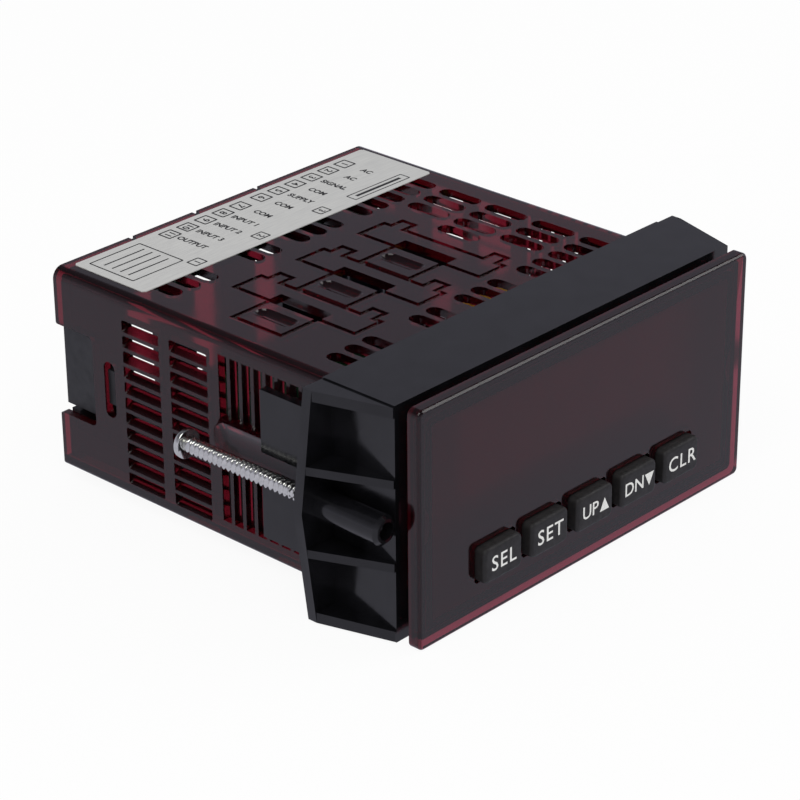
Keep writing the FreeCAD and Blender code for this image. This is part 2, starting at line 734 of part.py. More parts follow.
def finger_tab():
    """Left sprung arm: rooted on the rail, with a hook in the snap slot and a tab in the notch."""
    outer, inner = -BASE_SIDE, -BASE_SIDE + TAB_T
    rail_top = MAIN_BOARD_Z - (RAIL_H - BOARD_T) / 2 + RAIL_H
    arm = box(outer, inner, TAB_ROOT_Y, CASE_L, -ARM_HALF_H, ARM_HALF_H)
    tab = box(outer, inner, CASE_L - TAB_L, CASE_L, -TAB_HALF_H, TAB_HALF_H)
    root = box(outer, inner, TAB_ROOT_Y, TAB_ROOT_Y + TAB_ROOT_L, rail_top, -ARM_HALF_H)
    stop = SNAP_SLOT_Y + SNAP_SLOT_W / 2 - HOOK_GAP
    tip = -INNER_SIDE - HOOK_BITE
    ramp = [(outer, stop - HOOK_L - HOOK_BITE, 0), (tip, stop - HOOK_L, 0), (tip, stop, 0), (outer, stop, 0)]
    return [arm, tab, root, prism("xy", ramp, -HOOK_H / 2, HOOK_H / 2)]


def board_rail():
    """Left rail with the groove that takes the main board's edge."""
    outer, inner = -BASE_SIDE, -BASE_SIDE + RAIL_W
    low = MAIN_BOARD_Z - (RAIL_H - BOARD_T) / 2
    front = DISPLAY_BOARD_BACK + RAIL_FRONT_GAP
    rail = box(outer, inner, front, COVER_FRONT, low, low + RAIL_H)
    groove = box(inner - RAIL_GROOVE, inner + OVERCUT, front - OVERCUT, COVER_FRONT,
                 MAIN_BOARD_Z - RAIL_GROOVE_FIT, MAIN_BOARD_TOP + RAIL_GROOVE_FIT)
    return rail.cut(groove)


def base_rail():
    """Left side of the slide-in base: the board rail and its sprung finger tab."""
    return joined([board_rail()] + finger_tab())


def rear_cover():
    """Cover that closes the case, with windows for terminals and option cards and passages for the tabs."""
    corner_r = max(CASE_TOP_R - WALL, INNER_R_MIN)
    cover = prism("xz", case_outline(-WALL - BASE_FIT, corner_r, INNER_R_MIN), COVER_FRONT, COVER_BACK)
    y0, y1 = COVER_FRONT - OVERCUT, COVER_BACK + OVERCUT
    windows = []
    for x in BAY_XS:
        left = x + OPTION_LEFT
        windows.append(box(left, left + OPTION_W, y0, y1, OPTION_Z0, OPTION_Z1))
    for places in block_poles():
        x0, x1 = block_span(places)
        windows.append(box(x0 - BLOCK_FIT, x1 + BLOCK_FIT, y0, y1,
                           BLOCK_Z0 - BLOCK_FIT, BLOCK_Z0 + BLOCK_H + BLOCK_FIT))
    half = TAB_HALF_H + TAB_GAP
    passage = box(-BASE_SIDE - OVERCUT, -BASE_SIDE + TAB_T + TAB_GAP, y0, y1, -half, half)
    return cover.cut(windows + both_sides([passage]))


def terminal_label():
    half = LABEL_W / 2
    corners = clipped(LABEL_X - half, LABEL_X + half, LABEL_FRONT, LABEL_FRONT + LABEL_L, LABEL_CLIP)
    return prism("xy", corners, CASE_TOP, CASE_TOP + LABEL_T)


def wing():
    """Left wing: a rear wall with a wide V edge, end gussets and two ribs, open pockets between them."""
    inner = -LATCH_SIDE + WING_T / 2
    end_x, mid_x = -LATCH_SIDE - WING_REACH_END, -LATCH_SIDE - WING_REACH_MID
    wall_front = LATCH_BACK - WING_T
    wall = [(inner, WING_TOP, 0), (end_x, WING_TOP, 0), (mid_x, 0, 0)]
    wall += [(end_x, -WING_TOP, 0), (inner, -WING_TOP, 0)]
    pieces = [prism("xz", wall, wall_front, LATCH_BACK)]
    ribs = [(WING_TOP - WING_T, WING_TOP), (RIB_Z, RIB_Z + RIB_T)]
    for z0, z1 in ribs + [(-z1, -z0) for z0, z1 in ribs]:
        far = max(abs(z0), abs(z1))
        edge_x = mid_x + (end_x - mid_x) * far / WING_TOP
        rib = [(inner, LATCH_GAP, 0), (-LATCH_SIDE - WING_REACH_FRONT, LATCH_GAP, 0)]
        rib += [(edge_x, wall_front, 0), (inner, wall_front, 0)]
        pieces.append(prism("xy", rib, z0, z1))
    return pieces


def screw_boss():
    """Left boss with a bevelled nose, tied to the collar by a web."""
    boss = rod(BOSS_R, -SCREW_X, 0, LATCH_GAP, LATCH_BACK)
    boss = boss.makeChamfer(BOSS_EDGE_CUT, edges_at_depth(boss, LATCH_GAP))
    web = box(-SCREW_X, -LATCH_SIDE + WING_T / 2, LATCH_GAP + BOSS_EDGE_CUT, LATCH_BACK,
              -BOSS_WEB_T / 2, BOSS_WEB_T / 2)
    return [boss, web]


def tongue(z0, z1):
    """Left tongue along the case, with a tooth that sits in a ladder slot."""
    tooth_y = LADDER_LAST_Y - TOOTH_STEP * LADDER_PITCH
    outer, inner = -LATCH_INNER - TONGUE_T, -LATCH_INNER
    plate = box(outer, inner, LATCH_BACK - WING_T, tooth_y + TONGUE_TAIL, z0, z1)
    tooth_z0 = max(min(abs(z0), abs(z1)), LADDER_Z0) + TOOTH_MARGIN
    tooth_z1 = min(max(abs(z0), abs(z1)), LADDER_Z1) - TOOTH_MARGIN
    tooth = box(inner - TONGUE_T / 2, -CASE_SIDE + TOOTH_BITE, tooth_y - TOOTH_L / 2, tooth_y + TOOTH_L / 2,
                tooth_z0, tooth_z1)
    if z0 < 0:
        tooth = tooth.mirror(V(0, 0, 0), V(0, 0, 1))
    return [plate, tooth]


def panel_latch():
    x, z = LATCH_SIDE, LATCH_TOP
    ring = box(-x, x, LATCH_GAP, LATCH_BACK, -z, z)
    y0, y1 = LATCH_GAP - OVERCUT, LATCH_BACK + OVERCUT
    hole = prism("xz", case_outline(LATCH_FIT, CASE_TOP_R, CASE_BOTTOM_R), y0, y1)
    sides = wing() + screw_boss() + tongue(TONGUE_Z0, TONGUE_Z1) + tongue(-TONGUE_Z1, -TONGUE_Z0)
    bore = rod(SCREW_R + SCREW_FIT, -SCREW_X, 0, y0, y1)
    return joined([ring.cut(hole)] + both_sides(sides)).cut(both_sides([bore]))


def latch_screw(side):
    """Thread-forming screw with a slotted head, at its thread's outer size, tip to the front."""
    tip = LATCH_GAP + SCREW_TIP_INSET
    seat = tip + SCREW_L
    top = seat + HEAD_T
    profile = [(0, tip), (SCREW_R - SCREW_TIP_CONE / 2, tip), (SCREW_R, tip + SCREW_TIP_CONE)]
    profile += [(SCREW_R, seat), (HEAD_R, seat), (HEAD_R, seat + HEAD_RIM_T)]
    profile += [(HEAD_CROWN_R, top), (0, top), (0, tip)]
    wire = Part.makePolygon([V(r, y, 0) for r, y in profile])
    screw = upright(Part.Face(wire).revolve(V(0, 0, 0), V(0, 1, 0), 360))
    drive = box(-HEAD_R, HEAD_R, top - DRIVE_DEPTH, top + OVERCUT, -DRIVE_W / 2, DRIVE_W / 2)
    screw = screw.cut(drive)
    screw.translate(V(side * SCREW_X, 0, 0))
    return screw


KEY_NAMES = ("key_select", "key_set", "key_up", "key_down", "key_clear")
nodes = {
    "case": case(),
    "panel_gasket": panel_gasket(),
    "panel_latch": panel_latch(),
    "latch_screw_left": latch_screw(-1),
    "latch_screw_right": latch_screw(1),
    "keypad_mat": keypad_mat(),
    "display_board": display_board(),
    "main_board": main_board(),
    "board_header": board_header(),
    "transformer_core": transformer_core(),
    "transformer_coil": transformer_coil(),
    "processor_chip": processor_chip(),
    "terminal_board": terminal_board(),
    "terminal_screws": terminal_screws(),
    "rear_cover": rear_cover(),
    "base_rail_left": base_rail(),
    "base_rail_right": mirrored(base_rail()),
    "terminal_label": terminal_label(),
}
for name, x in zip(KEY_NAMES, KEY_XS):
    nodes[name] = key(x)
for i in range(DIGIT_COUNT):
    nodes[f"led_digit_{i + 1}"] = led_digit(i)
for i, y in enumerate(CAPACITOR_YS):
    nodes[f"capacitor_{i + 1}"] = capacitor(y)
for i, x in enumerate(BAY_XS):
    nodes[f"option_connector_{i + 1}"] = option_connector(x)
for places in block_poles():
    nodes[f"terminal_block_{len(places)}"] = terminal_block(places)

os.makedirs("parts", exist_ok=True)
for name, shape in nodes.items():
    shape.exportStep(f"parts/{name}.step")
    print(name, len(shape.Solids), round(shape.Volume, 1), shape.isValid())
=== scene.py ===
# %% [markdown]
# This lesson dresses a panel meter. The meter is a clear dark-red moulding that holds circuit boards,
# rubber keys, a paper-thin label and rows of screw terminals, and a black ratchet latch with two long
# screws clamps it in a panel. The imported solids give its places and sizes. They could be shown as they
# are, in one plain colour each, but it is the finish that tells plastic from rubber and steel. So the
# lesson makes the materials first, then surfaces worked out with numpy, then a studio.

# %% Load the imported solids
import math
import bmesh
import bpy
import numpy as np
from mathutils import Matrix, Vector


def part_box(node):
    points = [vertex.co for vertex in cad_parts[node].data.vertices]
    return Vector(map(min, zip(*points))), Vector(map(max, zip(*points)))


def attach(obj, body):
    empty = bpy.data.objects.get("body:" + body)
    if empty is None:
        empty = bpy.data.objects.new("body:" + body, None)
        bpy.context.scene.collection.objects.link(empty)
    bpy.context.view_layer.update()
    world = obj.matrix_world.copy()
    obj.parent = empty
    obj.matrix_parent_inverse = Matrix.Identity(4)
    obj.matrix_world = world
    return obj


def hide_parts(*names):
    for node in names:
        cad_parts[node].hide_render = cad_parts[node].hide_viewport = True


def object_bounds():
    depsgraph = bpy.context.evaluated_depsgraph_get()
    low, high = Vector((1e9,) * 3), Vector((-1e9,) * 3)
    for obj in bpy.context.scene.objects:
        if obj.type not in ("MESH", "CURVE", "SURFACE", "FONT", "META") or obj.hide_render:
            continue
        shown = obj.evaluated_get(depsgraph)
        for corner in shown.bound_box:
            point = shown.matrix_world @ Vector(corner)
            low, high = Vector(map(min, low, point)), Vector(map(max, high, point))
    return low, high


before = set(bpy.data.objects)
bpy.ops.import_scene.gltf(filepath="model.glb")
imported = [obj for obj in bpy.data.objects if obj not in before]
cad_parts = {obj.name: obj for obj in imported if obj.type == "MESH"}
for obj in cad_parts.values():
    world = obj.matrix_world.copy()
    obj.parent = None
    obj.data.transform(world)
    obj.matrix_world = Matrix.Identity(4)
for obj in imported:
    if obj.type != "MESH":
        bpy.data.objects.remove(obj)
cad_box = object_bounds()
MM = 0.001
print("nodes:", len(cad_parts))
print("box in mm:", [[round(v / MM, 1) for v in corner] for corner in cad_box])


# %% [markdown]
# Most places below start from a node's box. They could be typed in as numbers, but then a piece would
# stay behind when its solid changes. Two small helpers read the box in millimetres and give its middle.

# %% Places of the solids
def span(node):
    """Lowest and highest corner of a node, in millimetres."""
    low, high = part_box(node)
    return np.array(low) / MM, np.array(high) / MM


def middle(node):
    """Centre of a node's box, in millimetres."""
    low, high = span(node)
    return (low + high) / 2


print("case from", span("case")[0].round(2), "to", span("case")[1].round(2))


# %% [markdown]
# Colours are written as the hex values that a paint chart gives. Shaders work in linear light, so one
# function takes the screen curve off. Another adds a node with its settings and joins its inputs. Node
# trees could be drawn by hand in the editor, but in code every number can be read and changed.

# %% Colour and node helpers
def linear(code):
    """Linear RGBA of an sRGB hex code: the screen curve is undone channel by channel."""
    s = np.array([int(code[i:i + 2], 16) for i in (1, 3, 5)]) / 255
    rgb = np.where(s <= 0.04045, s / 12.92, ((s + 0.055) / 1.055) ** 2.4)
    return (*rgb.tolist(), 1.0)


def add(tree, kind, inputs=None, stops=(), **settings):
    """Adds a node: an input that is a socket is linked, any other value is set, and stops colour a ramp."""
    made = tree.nodes.new("ShaderNode" + kind)
    for key, value in settings.items():
        setattr(made, key, value)
    for step, (position, code) in enumerate(stops):
        made.color_ramp.elements[step].position = position
        made.color_ramp.elements[step].color = linear(code)
    for key, value in (inputs or {}).items():
        if isinstance(value, bpy.types.NodeSocket):
            tree.links.new(value, made.inputs[key])
        else:
            made.inputs[key].default_value = value
    return made


print("linear of mid grey:", round(linear("#808080")[0], 3))


# %% [markdown]
# Most finishes of the meter are made of three things: spots that drift between two values, a fine grit,
# and layers with a seam between them. Each finish could build them from single nodes, but a recipe of
# several nodes says it once. Sizes are real ones in millimetres. A picture of the whole meter has about
# five dots to a millimetre, so a grit that is finer than that on the real piece is drawn at a quarter
# of a millimetre or more, to show at all.

# %% Recipes for finishes
NOISE_FROM, NOISE_TO = 0.3, 0.7


def start(name, plain=None):
    """A material with its main shader, the values that are plain all over, and its place on the piece."""
    made = bpy.data.materials.new(name)
    made.use_nodes = True
    tree = made.node_tree
    tree.nodes.clear()
    shader = add(tree, "BsdfPrincipled", plain)
    add(tree, "OutputMaterial", {"Surface": shader.outputs["BSDF"]})
    place = add(tree, "TexCoord").outputs["Object"]
    return made, tree, shader, place


def per_metre(size_mm):
    """Texture scale at which one feature is about this many millimetres wide."""
    return 1000 / size_mm


def spots(tree, place, socket, size_mm, low, high, detail=2.0):
    """Noise with spots of a real size drives a socket from low to high: two hex codes or two numbers."""
    noise = add(tree, "TexNoise", {"Vector": place, "Scale": per_metre(size_mm), "Detail": detail})
    factor = noise.outputs["Fac"]
    if isinstance(low, str):
        ramp = add(tree, "ValToRGB", {"Fac": factor}, ((NOISE_FROM, low), (NOISE_TO, high)))
        tree.links.new(ramp.outputs["Color"], socket)
    else:
        limits = {"From Min": NOISE_FROM, "From Max": NOISE_TO, "To Min": low, "To Max": high}
        spread = add(tree, "MapRange", {"Value": factor, **limits})
        tree.links.new(spread.outputs["Result"], socket)


def grit(tree, place, shader, size_mm, depth_mm, strength, detail=2.0):
    """Noise with spots of a real size and depth gives the shader a fine relief."""
    noise = add(tree, "TexNoise", {"Vector": place, "Scale": per_metre(size_mm), "Detail": detail})
    height = {"Height": noise.outputs["Fac"], "Distance": depth_mm * MM, "Strength": strength}
    tree.links.new(add(tree, "Bump", height).outputs["Normal"], shader.inputs["Normal"])


def layers(tree, place, shader, pitch_mm, stops, depth_mm, strength):
    """A wave over the height, 0 at each seam and 1 half a pitch away, gives colour and relief."""
    up = add(tree, "SeparateXYZ", {"Vector": place}).outputs["Z"]
    halves = add(tree, "Math", {0: up, 1: per_metre(pitch_mm / 2)}, operation="MULTIPLY").outputs["Value"]
    wave = add(tree, "Math", {0: halves, 1: 1.0}, operation="PINGPONG").outputs["Value"]
    ramp = add(tree, "ValToRGB", {"Fac": wave}, stops)
    tree.links.new(ramp.outputs["Color"], shader.inputs["Base Color"])
    height = {"Height": wave, "Distance": depth_mm * MM, "Strength": strength}
    tree.links.new(add(tree, "Bump", height).outputs["Normal"], shader.inputs["Normal"])


print("texture scale of a 2 mm grain:", per_metre(2.0))


# %% [markdown]
# The case is moulded in a clear plastic dyed a smoky red, so that the display shows through its front.
# From outside it looks almost black, because light has to cross two walls, and its greys are
# reflections of the white studio. Where light crosses one wall only, at the bezel's rim and through the
# vents, it glows deep red. A dark red paint would be simpler, but it would have no glow and no depth,
# so the shader lets light through: it tints at each face, and smoke thins the light on its way. The
# back of the display window is matt and takes less dye, which leaves a soft red bloom on the front.

# %% Smoked case plastic
CASE_DYE = "#6E1B2B"
WINDOW_DYE = "#FFD8F0"
SMOKE = "#CB8490"
SMOKE_PER_METRE = 400.0
CLEAR_SHARE = 0.972
DULL_SHARE = "dull_share"
DULL_ROUGHNESS = 0.45


def smoked_polycarbonate():
    """Dyed clear plastic: mirror gloss with a faint ripple, matt where the mould was left dull."""
    plain = {"IOR": 1.5, "Transmission Weight": CLEAR_SHARE}
    made, tree, shader, place = start("smoked_polycarbonate_moulded_gloss", plain)
    dull = add(tree, "Attribute", attribute_name=DULL_SHARE).outputs["Fac"]
    dye = add(tree, "ValToRGB", {"Fac": dull}, ((0.49, CASE_DYE), (0.51, WINDOW_DYE)))
    tree.links.new(dye.outputs["Color"], shader.inputs["Base Color"])
    smoke = add(tree, "VolumeAbsorption", {"Color": linear(SMOKE), "Density": SMOKE_PER_METRE})
    tree.links.new(smoke.outputs["Volume"], tree.nodes["Material Output"].inputs["Volume"])
    rough = add(tree, "Math", {0: dull, 1: DULL_ROUGHNESS}, operation="MULTIPLY_ADD")
    spots(tree, place, rough.inputs[2], 9.0, 0.05, 0.11)
    tree.links.new(rough.outputs["Value"], shader.inputs["Roughness"])
    grit(tree, place, shader, 14.0, 0.02, 0.25)
    return made


CASE_PLASTIC = smoked_polycarbonate()
print(CASE_PLASTIC.name, "has", len(CASE_PLASTIC.node_tree.nodes), "nodes")


# %% [markdown]
# The latch is black nylon from a polished mould, so it shows clear pale reflections. The base,
# terminals, chips and connectors come from spark-eroded moulds, and the keys and seals are rubber: all
# dull, each in its own way. One black for all would be quick, but on the real meter their sheen tells
# them apart, so colour, roughness and grit differ.

# %% Black plastics and rubbers
def black_nylon():
    """Glass-filled nylon, polished mould: black with a clear sheen and slight flow marks."""
    made, tree, shader, place = start("black_nylon_moulded_gloss", {"IOR": 1.5})
    spots(tree, place, shader.inputs["Base Color"], 5.0, "#0B0B0D", "#131316")
    spots(tree, place, shader.inputs["Roughness"], 3.0, 0.10, 0.18)
    grit(tree, place, shader, 6.0, 0.02, 0.25)
    return made


def matt_plastic(name, low, high, grit_mm):
    """Plastic from a spark-eroded mould, or painted matt: a fine even grit that scatters the light."""
    made, tree, shader, place = start(name, {"IOR": 1.5})
    spots(tree, place, shader.inputs["Base Color"], 3.0, low, high)
    spots(tree, place, shader.inputs["Roughness"], 2.0, 0.38, 0.52)
    grit(tree, place, shader, grit_mm, 0.015, 0.5)
    return made


def soft_rubber(name, low, high):
    """Moulded silicone or cut neoprene: dull and slightly dusty, with a soft shine at a low angle."""
    made, tree, shader, place = start(name, {"IOR": 1.41})
    spots(tree, place, shader.inputs["Base Color"], 1.5, low, high, 4.0)
    spots(tree, place, shader.inputs["Roughness"], 0.8, 0.42, 0.6)
    grit(tree, place, shader, 0.35, 0.012, 0.5)
    return made


LATCH_PLASTIC = black_nylon()
BASE_PLASTIC = matt_plastic("black_abs_spark_eroded", "#141416", "#1E1E21", 0.4)
TERMINAL_PLASTIC = matt_plastic("terminal_nylon_moulded", "#17181A", "#232427", 0.5)
CHIP_PLASTIC = matt_plastic("epoxy_chip_moulded", "#101012", "#1A1A1C", 0.3)
CONNECTOR_PLASTIC = matt_plastic("connector_polyester_moulded", "#0F0F11", "#19191B", 0.4)
KEY_RUBBER = soft_rubber("key_silicone_moulded", "#1B1A1A", "#262424")
SEAL_RUBBER = soft_rubber("neoprene_sheet_cut", "#0C0C0C", "#151515")
print("the latch is", LATCH_PLASTIC.name, "and the keys", KEY_RUBBER.name)


# %% [markdown]
# The latch screws are bright zinc plate, a thin metal coat that shows its drawing marks. The boards are
# lacquered glass laminate with copper tracks under the lacquer, green inside the case and white behind
# the display, and the transformer's core is a stack of steel sheets. One plain colour each would do
# from far away, but close up a finish is known by the size of its grain, so each one gets its own.

# %% Metals and boards
def zinc_plate():
    """Bright zinc on steel: a pale, shiny metal, a little yellow, with fine marks from drawing."""
    made, tree, shader, place = start("zinc_plated_steel", {"Metallic": 1.0})
    spots(tree, place, shader.inputs["Base Color"], 1.2, "#CFD0CC", "#E6E6E0", 3.0)
    spots(tree, place, shader.inputs["Roughness"], 0.5, 0.08, 0.18)
    grit(tree, place, shader, 0.25, 0.01, 0.3)
    return made


def board_laminate(name, ground, other_ground, track):
    """Lacquered laminate: tracks stand a little lighter than the ground between them."""
    made, tree, shader, place = start(name, {"IOR": 1.5})
    slant = add(tree, "Mapping", {"Vector": place, "Rotation": (0.0, 0.0, math.radians(45))})
    colours = {"Color1": linear(ground), "Color2": linear(other_ground), "Mortar": linear(track)}
    pattern = {"Vector": slant.outputs["Vector"], "Scale": per_metre(4.0), "Mortar Size": 0.04}
    tracks = add(tree, "TexBrick", {**pattern, **colours})
    tree.links.new(tracks.outputs["Color"], shader.inputs["Base Color"])
    spots(tree, place, shader.inputs["Roughness"], 1.0, 0.25, 0.4)
    raised = add(tree, "Bump", {"Height": tracks.outputs["Fac"], "Distance": 0.035 * MM, "Strength": 0.5})
    tree.links.new(raised.outputs["Normal"], shader.inputs["Normal"])
    return made


def lamination_steel():
    """Stacked steel sheets under dark varnish, drawn thicker than real ones so that their seams show."""
    made, tree, shader, place = start("varnished_steel_laminations", {"Metallic": 0.85})
    layers(tree, place, shader, 1.4, ((0.05, "#2A2724"), (0.3, "#6E6962")), 0.05, 0.6)
    spots(tree, place, shader.inputs["Roughness"], 1.5, 0.35, 0.55)
    return made


ZINC = zinc_plate()
LAMINATE = board_laminate("green_lacquered_laminate", "#0A2F18", "#0C391E", "#17552E")
WHITE_LAMINATE = board_laminate("white_lacquered_laminate", "#E6E3E0", "#EAE7E4", "#EEEBE8")
CORE_STEEL = lamination_steel()
print("metals:", ZINC.name, "and", CORE_STEEL.name)


# %% [markdown]
# The transformer's coil is wrapped in yellow tape, and the capacitors wear a shrunk plastic sleeve. The
# label is silver polyester film, and its print and the key legends are flat inks. These are all thin
# films and could share one shader in several colours. But each carries the marks of how it was put on:
# edges of the tape's turns, wrinkles in the sleeve, brushed lines in the film, thin places in the ink.

# %% Tape, sleeve, film and inks
def winding_tape():
    """Yellow polyester tape wrapped round a coil: glossy, with the edge of each turn showing."""
    made, tree, shader, place = start("coil_tape_wrapped", {"IOR": 1.57})
    layers(tree, place, shader, 6.0, ((0.02, "#8A6A14"), (0.2, "#C69A22")), 0.05, 0.5)
    spots(tree, place, shader.inputs["Roughness"], 2.0, 0.15, 0.3)
    return made


def capacitor_sleeve():
    """Shrunk plastic sleeve: dark blue-black, glossy, faintly wrinkled."""
    made, tree, shader, place = start("shrink_sleeve_dark", {"IOR": 1.53})
    spots(tree, place, shader.inputs["Base Color"], 2.5, "#0D0F1C", "#171B2E")
    spots(tree, place, shader.inputs["Roughness"], 1.5, 0.12, 0.25)
    grit(tree, place, shader, 1.0, 0.03, 0.3)
    return made


def label_film():
    """Silver polyester film: pale grey, half matt, with fine brushed lines across it."""
    made, tree, shader, place = start("silver_polyester_film", {"Metallic": 0.15})
    drawn = add(tree, "Mapping", {"Vector": place, "Scale": (0.06, 1.0, 1.0)}).outputs["Vector"]
    spots(tree, drawn, shader.inputs["Base Color"], 0.35, "#C6C6C4", "#D4D4D1", 3.0)
    spots(tree, drawn, shader.inputs["Roughness"], 0.35, 0.38, 0.5, 3.0)
    grit(tree, drawn, shader, 0.35, 0.004, 0.3, 3.0)
    return made


def flat_ink(name, low, high):
    """Screen-printed ink, or a digit's pale segment: an even, dull film, a little thinner in places."""
    made, tree, shader, place = start(name)
    spots(tree, place, shader.inputs["Base Color"], 0.3, low, high, 3.0)
    spots(tree, place, shader.inputs["Roughness"], 0.4, 0.5, 0.65)
    return made


COIL_TAPE = winding_tape()
SLEEVE = capacitor_sleeve()
FILM = label_film()
BLACK_INK = flat_ink("black_ink_printed", "#1C1C1E", "#2A2A2C")
WHITE_INK = flat_ink("white_ink_printed", "#E4E4E2", "#F2F2F0")
DIGIT_FACE = matt_plastic("digit_face_painted", "#E0DCD8", "#E6E2DE", 0.5)
SEGMENT = flat_ink("digit_segment_unlit", "#E2DDD9", "#E9E4E0")
print("the label is", FILM.name, "with", BLACK_INK.name)


# %% [markdown]
# A surface here is a grid of points: rings along one parameter, points round each ring along the other.
# The faces of such a grid follow from the indices alone. Cubes and cylinders cut by booleans could give
# like shapes, but they leave ragged faces, and a grid is even and quick to change.

# %% Grids and rings
def grid_faces(rows, cols):
    """Quads between rings, one ring a row: point j joins point j + 1, and the last point the first."""
    i, j = np.meshgrid(np.arange(rows - 1), np.arange(cols), indexing="ij")
    k = (j + 1) % cols
    corners = [i * cols + j, i * cols + k, (i + 1) * cols + k, (i + 1) * cols + j]
    return np.stack(corners, -1).reshape(-1, 4)


def loft(rings):
    """Skin over a stack of closed rings (rows, points, xyz); a ring of equal points is a pole."""
    rings = np.asarray(rings, float)
    return rings.reshape(-1, 3), grid_faces(rings.shape[0], rings.shape[1])


def rounded_ring(half_w, half_h, radius, steps=6):
    """Points (u, v) round a rectangle: at each corner its centre plus the radius along a quarter turn."""
    quarter = np.linspace(0, np.pi / 2, steps + 1)
    turns = np.concatenate([quarter + i * np.pi / 2 for i in range(4)])
    corner_u = np.repeat([1, -1, -1, 1], steps + 1) * (half_w - radius)
    corner_v = np.repeat([1, 1, -1, -1], steps + 1) * (half_h - radius)
    return np.stack([corner_u + radius * np.cos(turns), corner_v + radius * np.sin(turns)], -1)


def depth_rings(x, z, sections):
    """Rings across the depth: each section is (y, half width, half height, corner radius)."""
    rings = []
    for y, half_w, half_h, radius in sections:
        ring = rounded_ring(half_w, half_h, radius)
        rings.append(np.stack([x + ring[:, 0], np.full(len(ring), y), z + ring[:, 1]], -1))
    return np.stack(rings)


print("a ring has", len(rounded_ring(5, 3, 1)), "points")


# %% [markdown]
# A piece of the meter may join several grids. Doubled points are then merged, which closes seams and
# poles, and all faces are turned outwards. Shading could be smooth all over, but flat faces next to a
# corner would then look bulged, so edges past an angle are marked as sharp. Last, the piece gets its
# material, the body that it rides on and the node that it stands for.

# %% Pieces
SAME_POINT_M = 1e-7
NO_LENGTH_M = 1e-8
SHARP_DEG = 35


def clean(mesh):
    """Merges doubled points, drops faces that shrank to nothing and turns the rest outwards."""
    shape = bmesh.new()
    shape.from_mesh(mesh)
    bmesh.ops.remove_doubles(shape, verts=shape.verts, dist=SAME_POINT_M)
    bmesh.ops.dissolve_degenerate(shape, edges=shape.edges, dist=NO_LENGTH_M)
    bmesh.ops.recalc_face_normals(shape, faces=shape.faces)
    shape.to_mesh(mesh)
    shape.free()


def shade(mesh, sharp_deg):
    """Smooth faces, with every edge kept sharp where its two faces meet at more than an angle."""
    shape = bmesh.new()
    shape.from_mesh(mesh)
    for face in shape.faces:
        face.smooth = True
    for edge in shape.edges:
        edge.smooth = len(edge.link_faces) == 2 and edge.calc_face_angle() < math.radians(sharp_deg)
    shape.to_mesh(mesh)
    shape.free()


def dress(name, mesh, material, body, node=None, sharp_deg=SHARP_DEG):
    """Object for a finished mesh: its shading, a material, a body and the node it stands for."""
    mesh.materials.clear()
    mesh.materials.append(material)
    shade(mesh, sharp_deg)
    made = bpy.data.objects.new(name, mesh)
    bpy.context.scene.collection.objects.link(made)
    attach(made, body)
    if node:
        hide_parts(node)
    return made


def add_piece(name, parts, material, body, node=None, sharp_deg=SHARP_DEG, turn=True):
    """One object of several (points in mm, faces) parts that rides on a body and may stand for a node."""
    points, faces, offset = [], [], 0
    for part_points, part_faces in parts:
        points.append(np.asarray(part_points, float) * MM)
        faces += [[int(i) + offset for i in face] for face in part_faces]
        offset += len(part_points)
    mesh = bpy.data.meshes.new(name)
    mesh.from_pydata(np.concatenate(points).tolist(), [], faces)
    if turn:
        clean(mesh)
    return dress(name, mesh, material, body, node, sharp_deg)


print("edges stay sharp past", SHARP_DEG, "degrees")


# %% [markdown]
# The case and the latch are large mouldings full of openings. They could be modelled again, but the
# solids already hold every opening in its place. What they lack is the small rounds that a mould leaves
# on outer edges, which catch a thin line of light. So a merged copy of each solid gets them from a
# bevel on chosen edges.

# %% Rounded copies of the mouldings
JOIN_POINT_M = 2e-6
SAME_PLANE_DEG = 0.2


def merged_copy(node):
    """The node's triangles joined to one skin, with flat areas as single faces."""
    shape = bmesh.new()
    shape.from_mesh(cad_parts[node].data)
    bmesh.ops.remove_doubles(shape, verts=shape.verts, dist=JOIN_POINT_M)
    flat = math.radians(SAME_PLANE_DEG)
    bmesh.ops.dissolve_limit(shape, angle_limit=flat, verts=shape.verts, edges=shape.edges)
    return shape


def moulding(name, node, material, body, rounds):
    """A merged copy with edges rounded: each round is (which edges, radius in mm, segments)."""
    shape = merged_copy(node)
    for chosen, radius_mm, segments in rounds:
        edges = [e for e in shape.edges if len(e.link_faces) == 2 and chosen(e)]
        bmesh.ops.bevel(shape, geom=edges, offset=radius_mm * MM, segments=segments, profile=0.5,
                        affect="EDGES", clamp_overlap=True)
        print(name, "edges rounded:", len(edges))
    mesh = bpy.data.meshes.new(name)
    shape.to_mesh(mesh)
    shape.free()
    made = dress(name, mesh, material, body, node)
    flat_faces = made.modifiers.new("flat_faces", "WEIGHTED_NORMAL")
    flat_faces.keep_sharp = True
    flat_faces.weight = 100
    return made


skin = merged_copy("case")
print("faces of the merged case:", len(skin.faces))
skin.free()


# %% [markdown]
# On the case the rims of the bezel and the corners of the louvres are rounded. Every edge could be, but
# these are the ones that catch the light, and the mesh stays small. Two tests pick them by where they
# lie: on the chamfer round the bezel's front, or right through a side wall.

# %% Rounds of the case
case_low, case_high = span("case")
BEZEL_FRONT = case_low[1]
RIM_CHAMFER = 0.5
RIM_BAND = 2.2
RIM_TURN_DEG = 20
RIM_ROUND = 0.2
BEZEL_LIP = 3.15
SIDE_WALL = 1.8
SIDE_OUTER = case_high[0] - BEZEL_LIP
SIDE_INNER = SIDE_OUTER - SIDE_WALL
LOUVRE_FROM = 55.0
LOUVRE_ROUND = 0.45
LONG_EDGE = 1.2
NEAR = 0.001
LEVEL = 0.01
INNER_SLACK, OUTER_SLACK = 0.1, 0.15


def points_mm(edge):
    """Ends of an edge in millimetres, as arrays of x, y and z."""
    return np.array([v.co for v in edge.verts]).T / MM


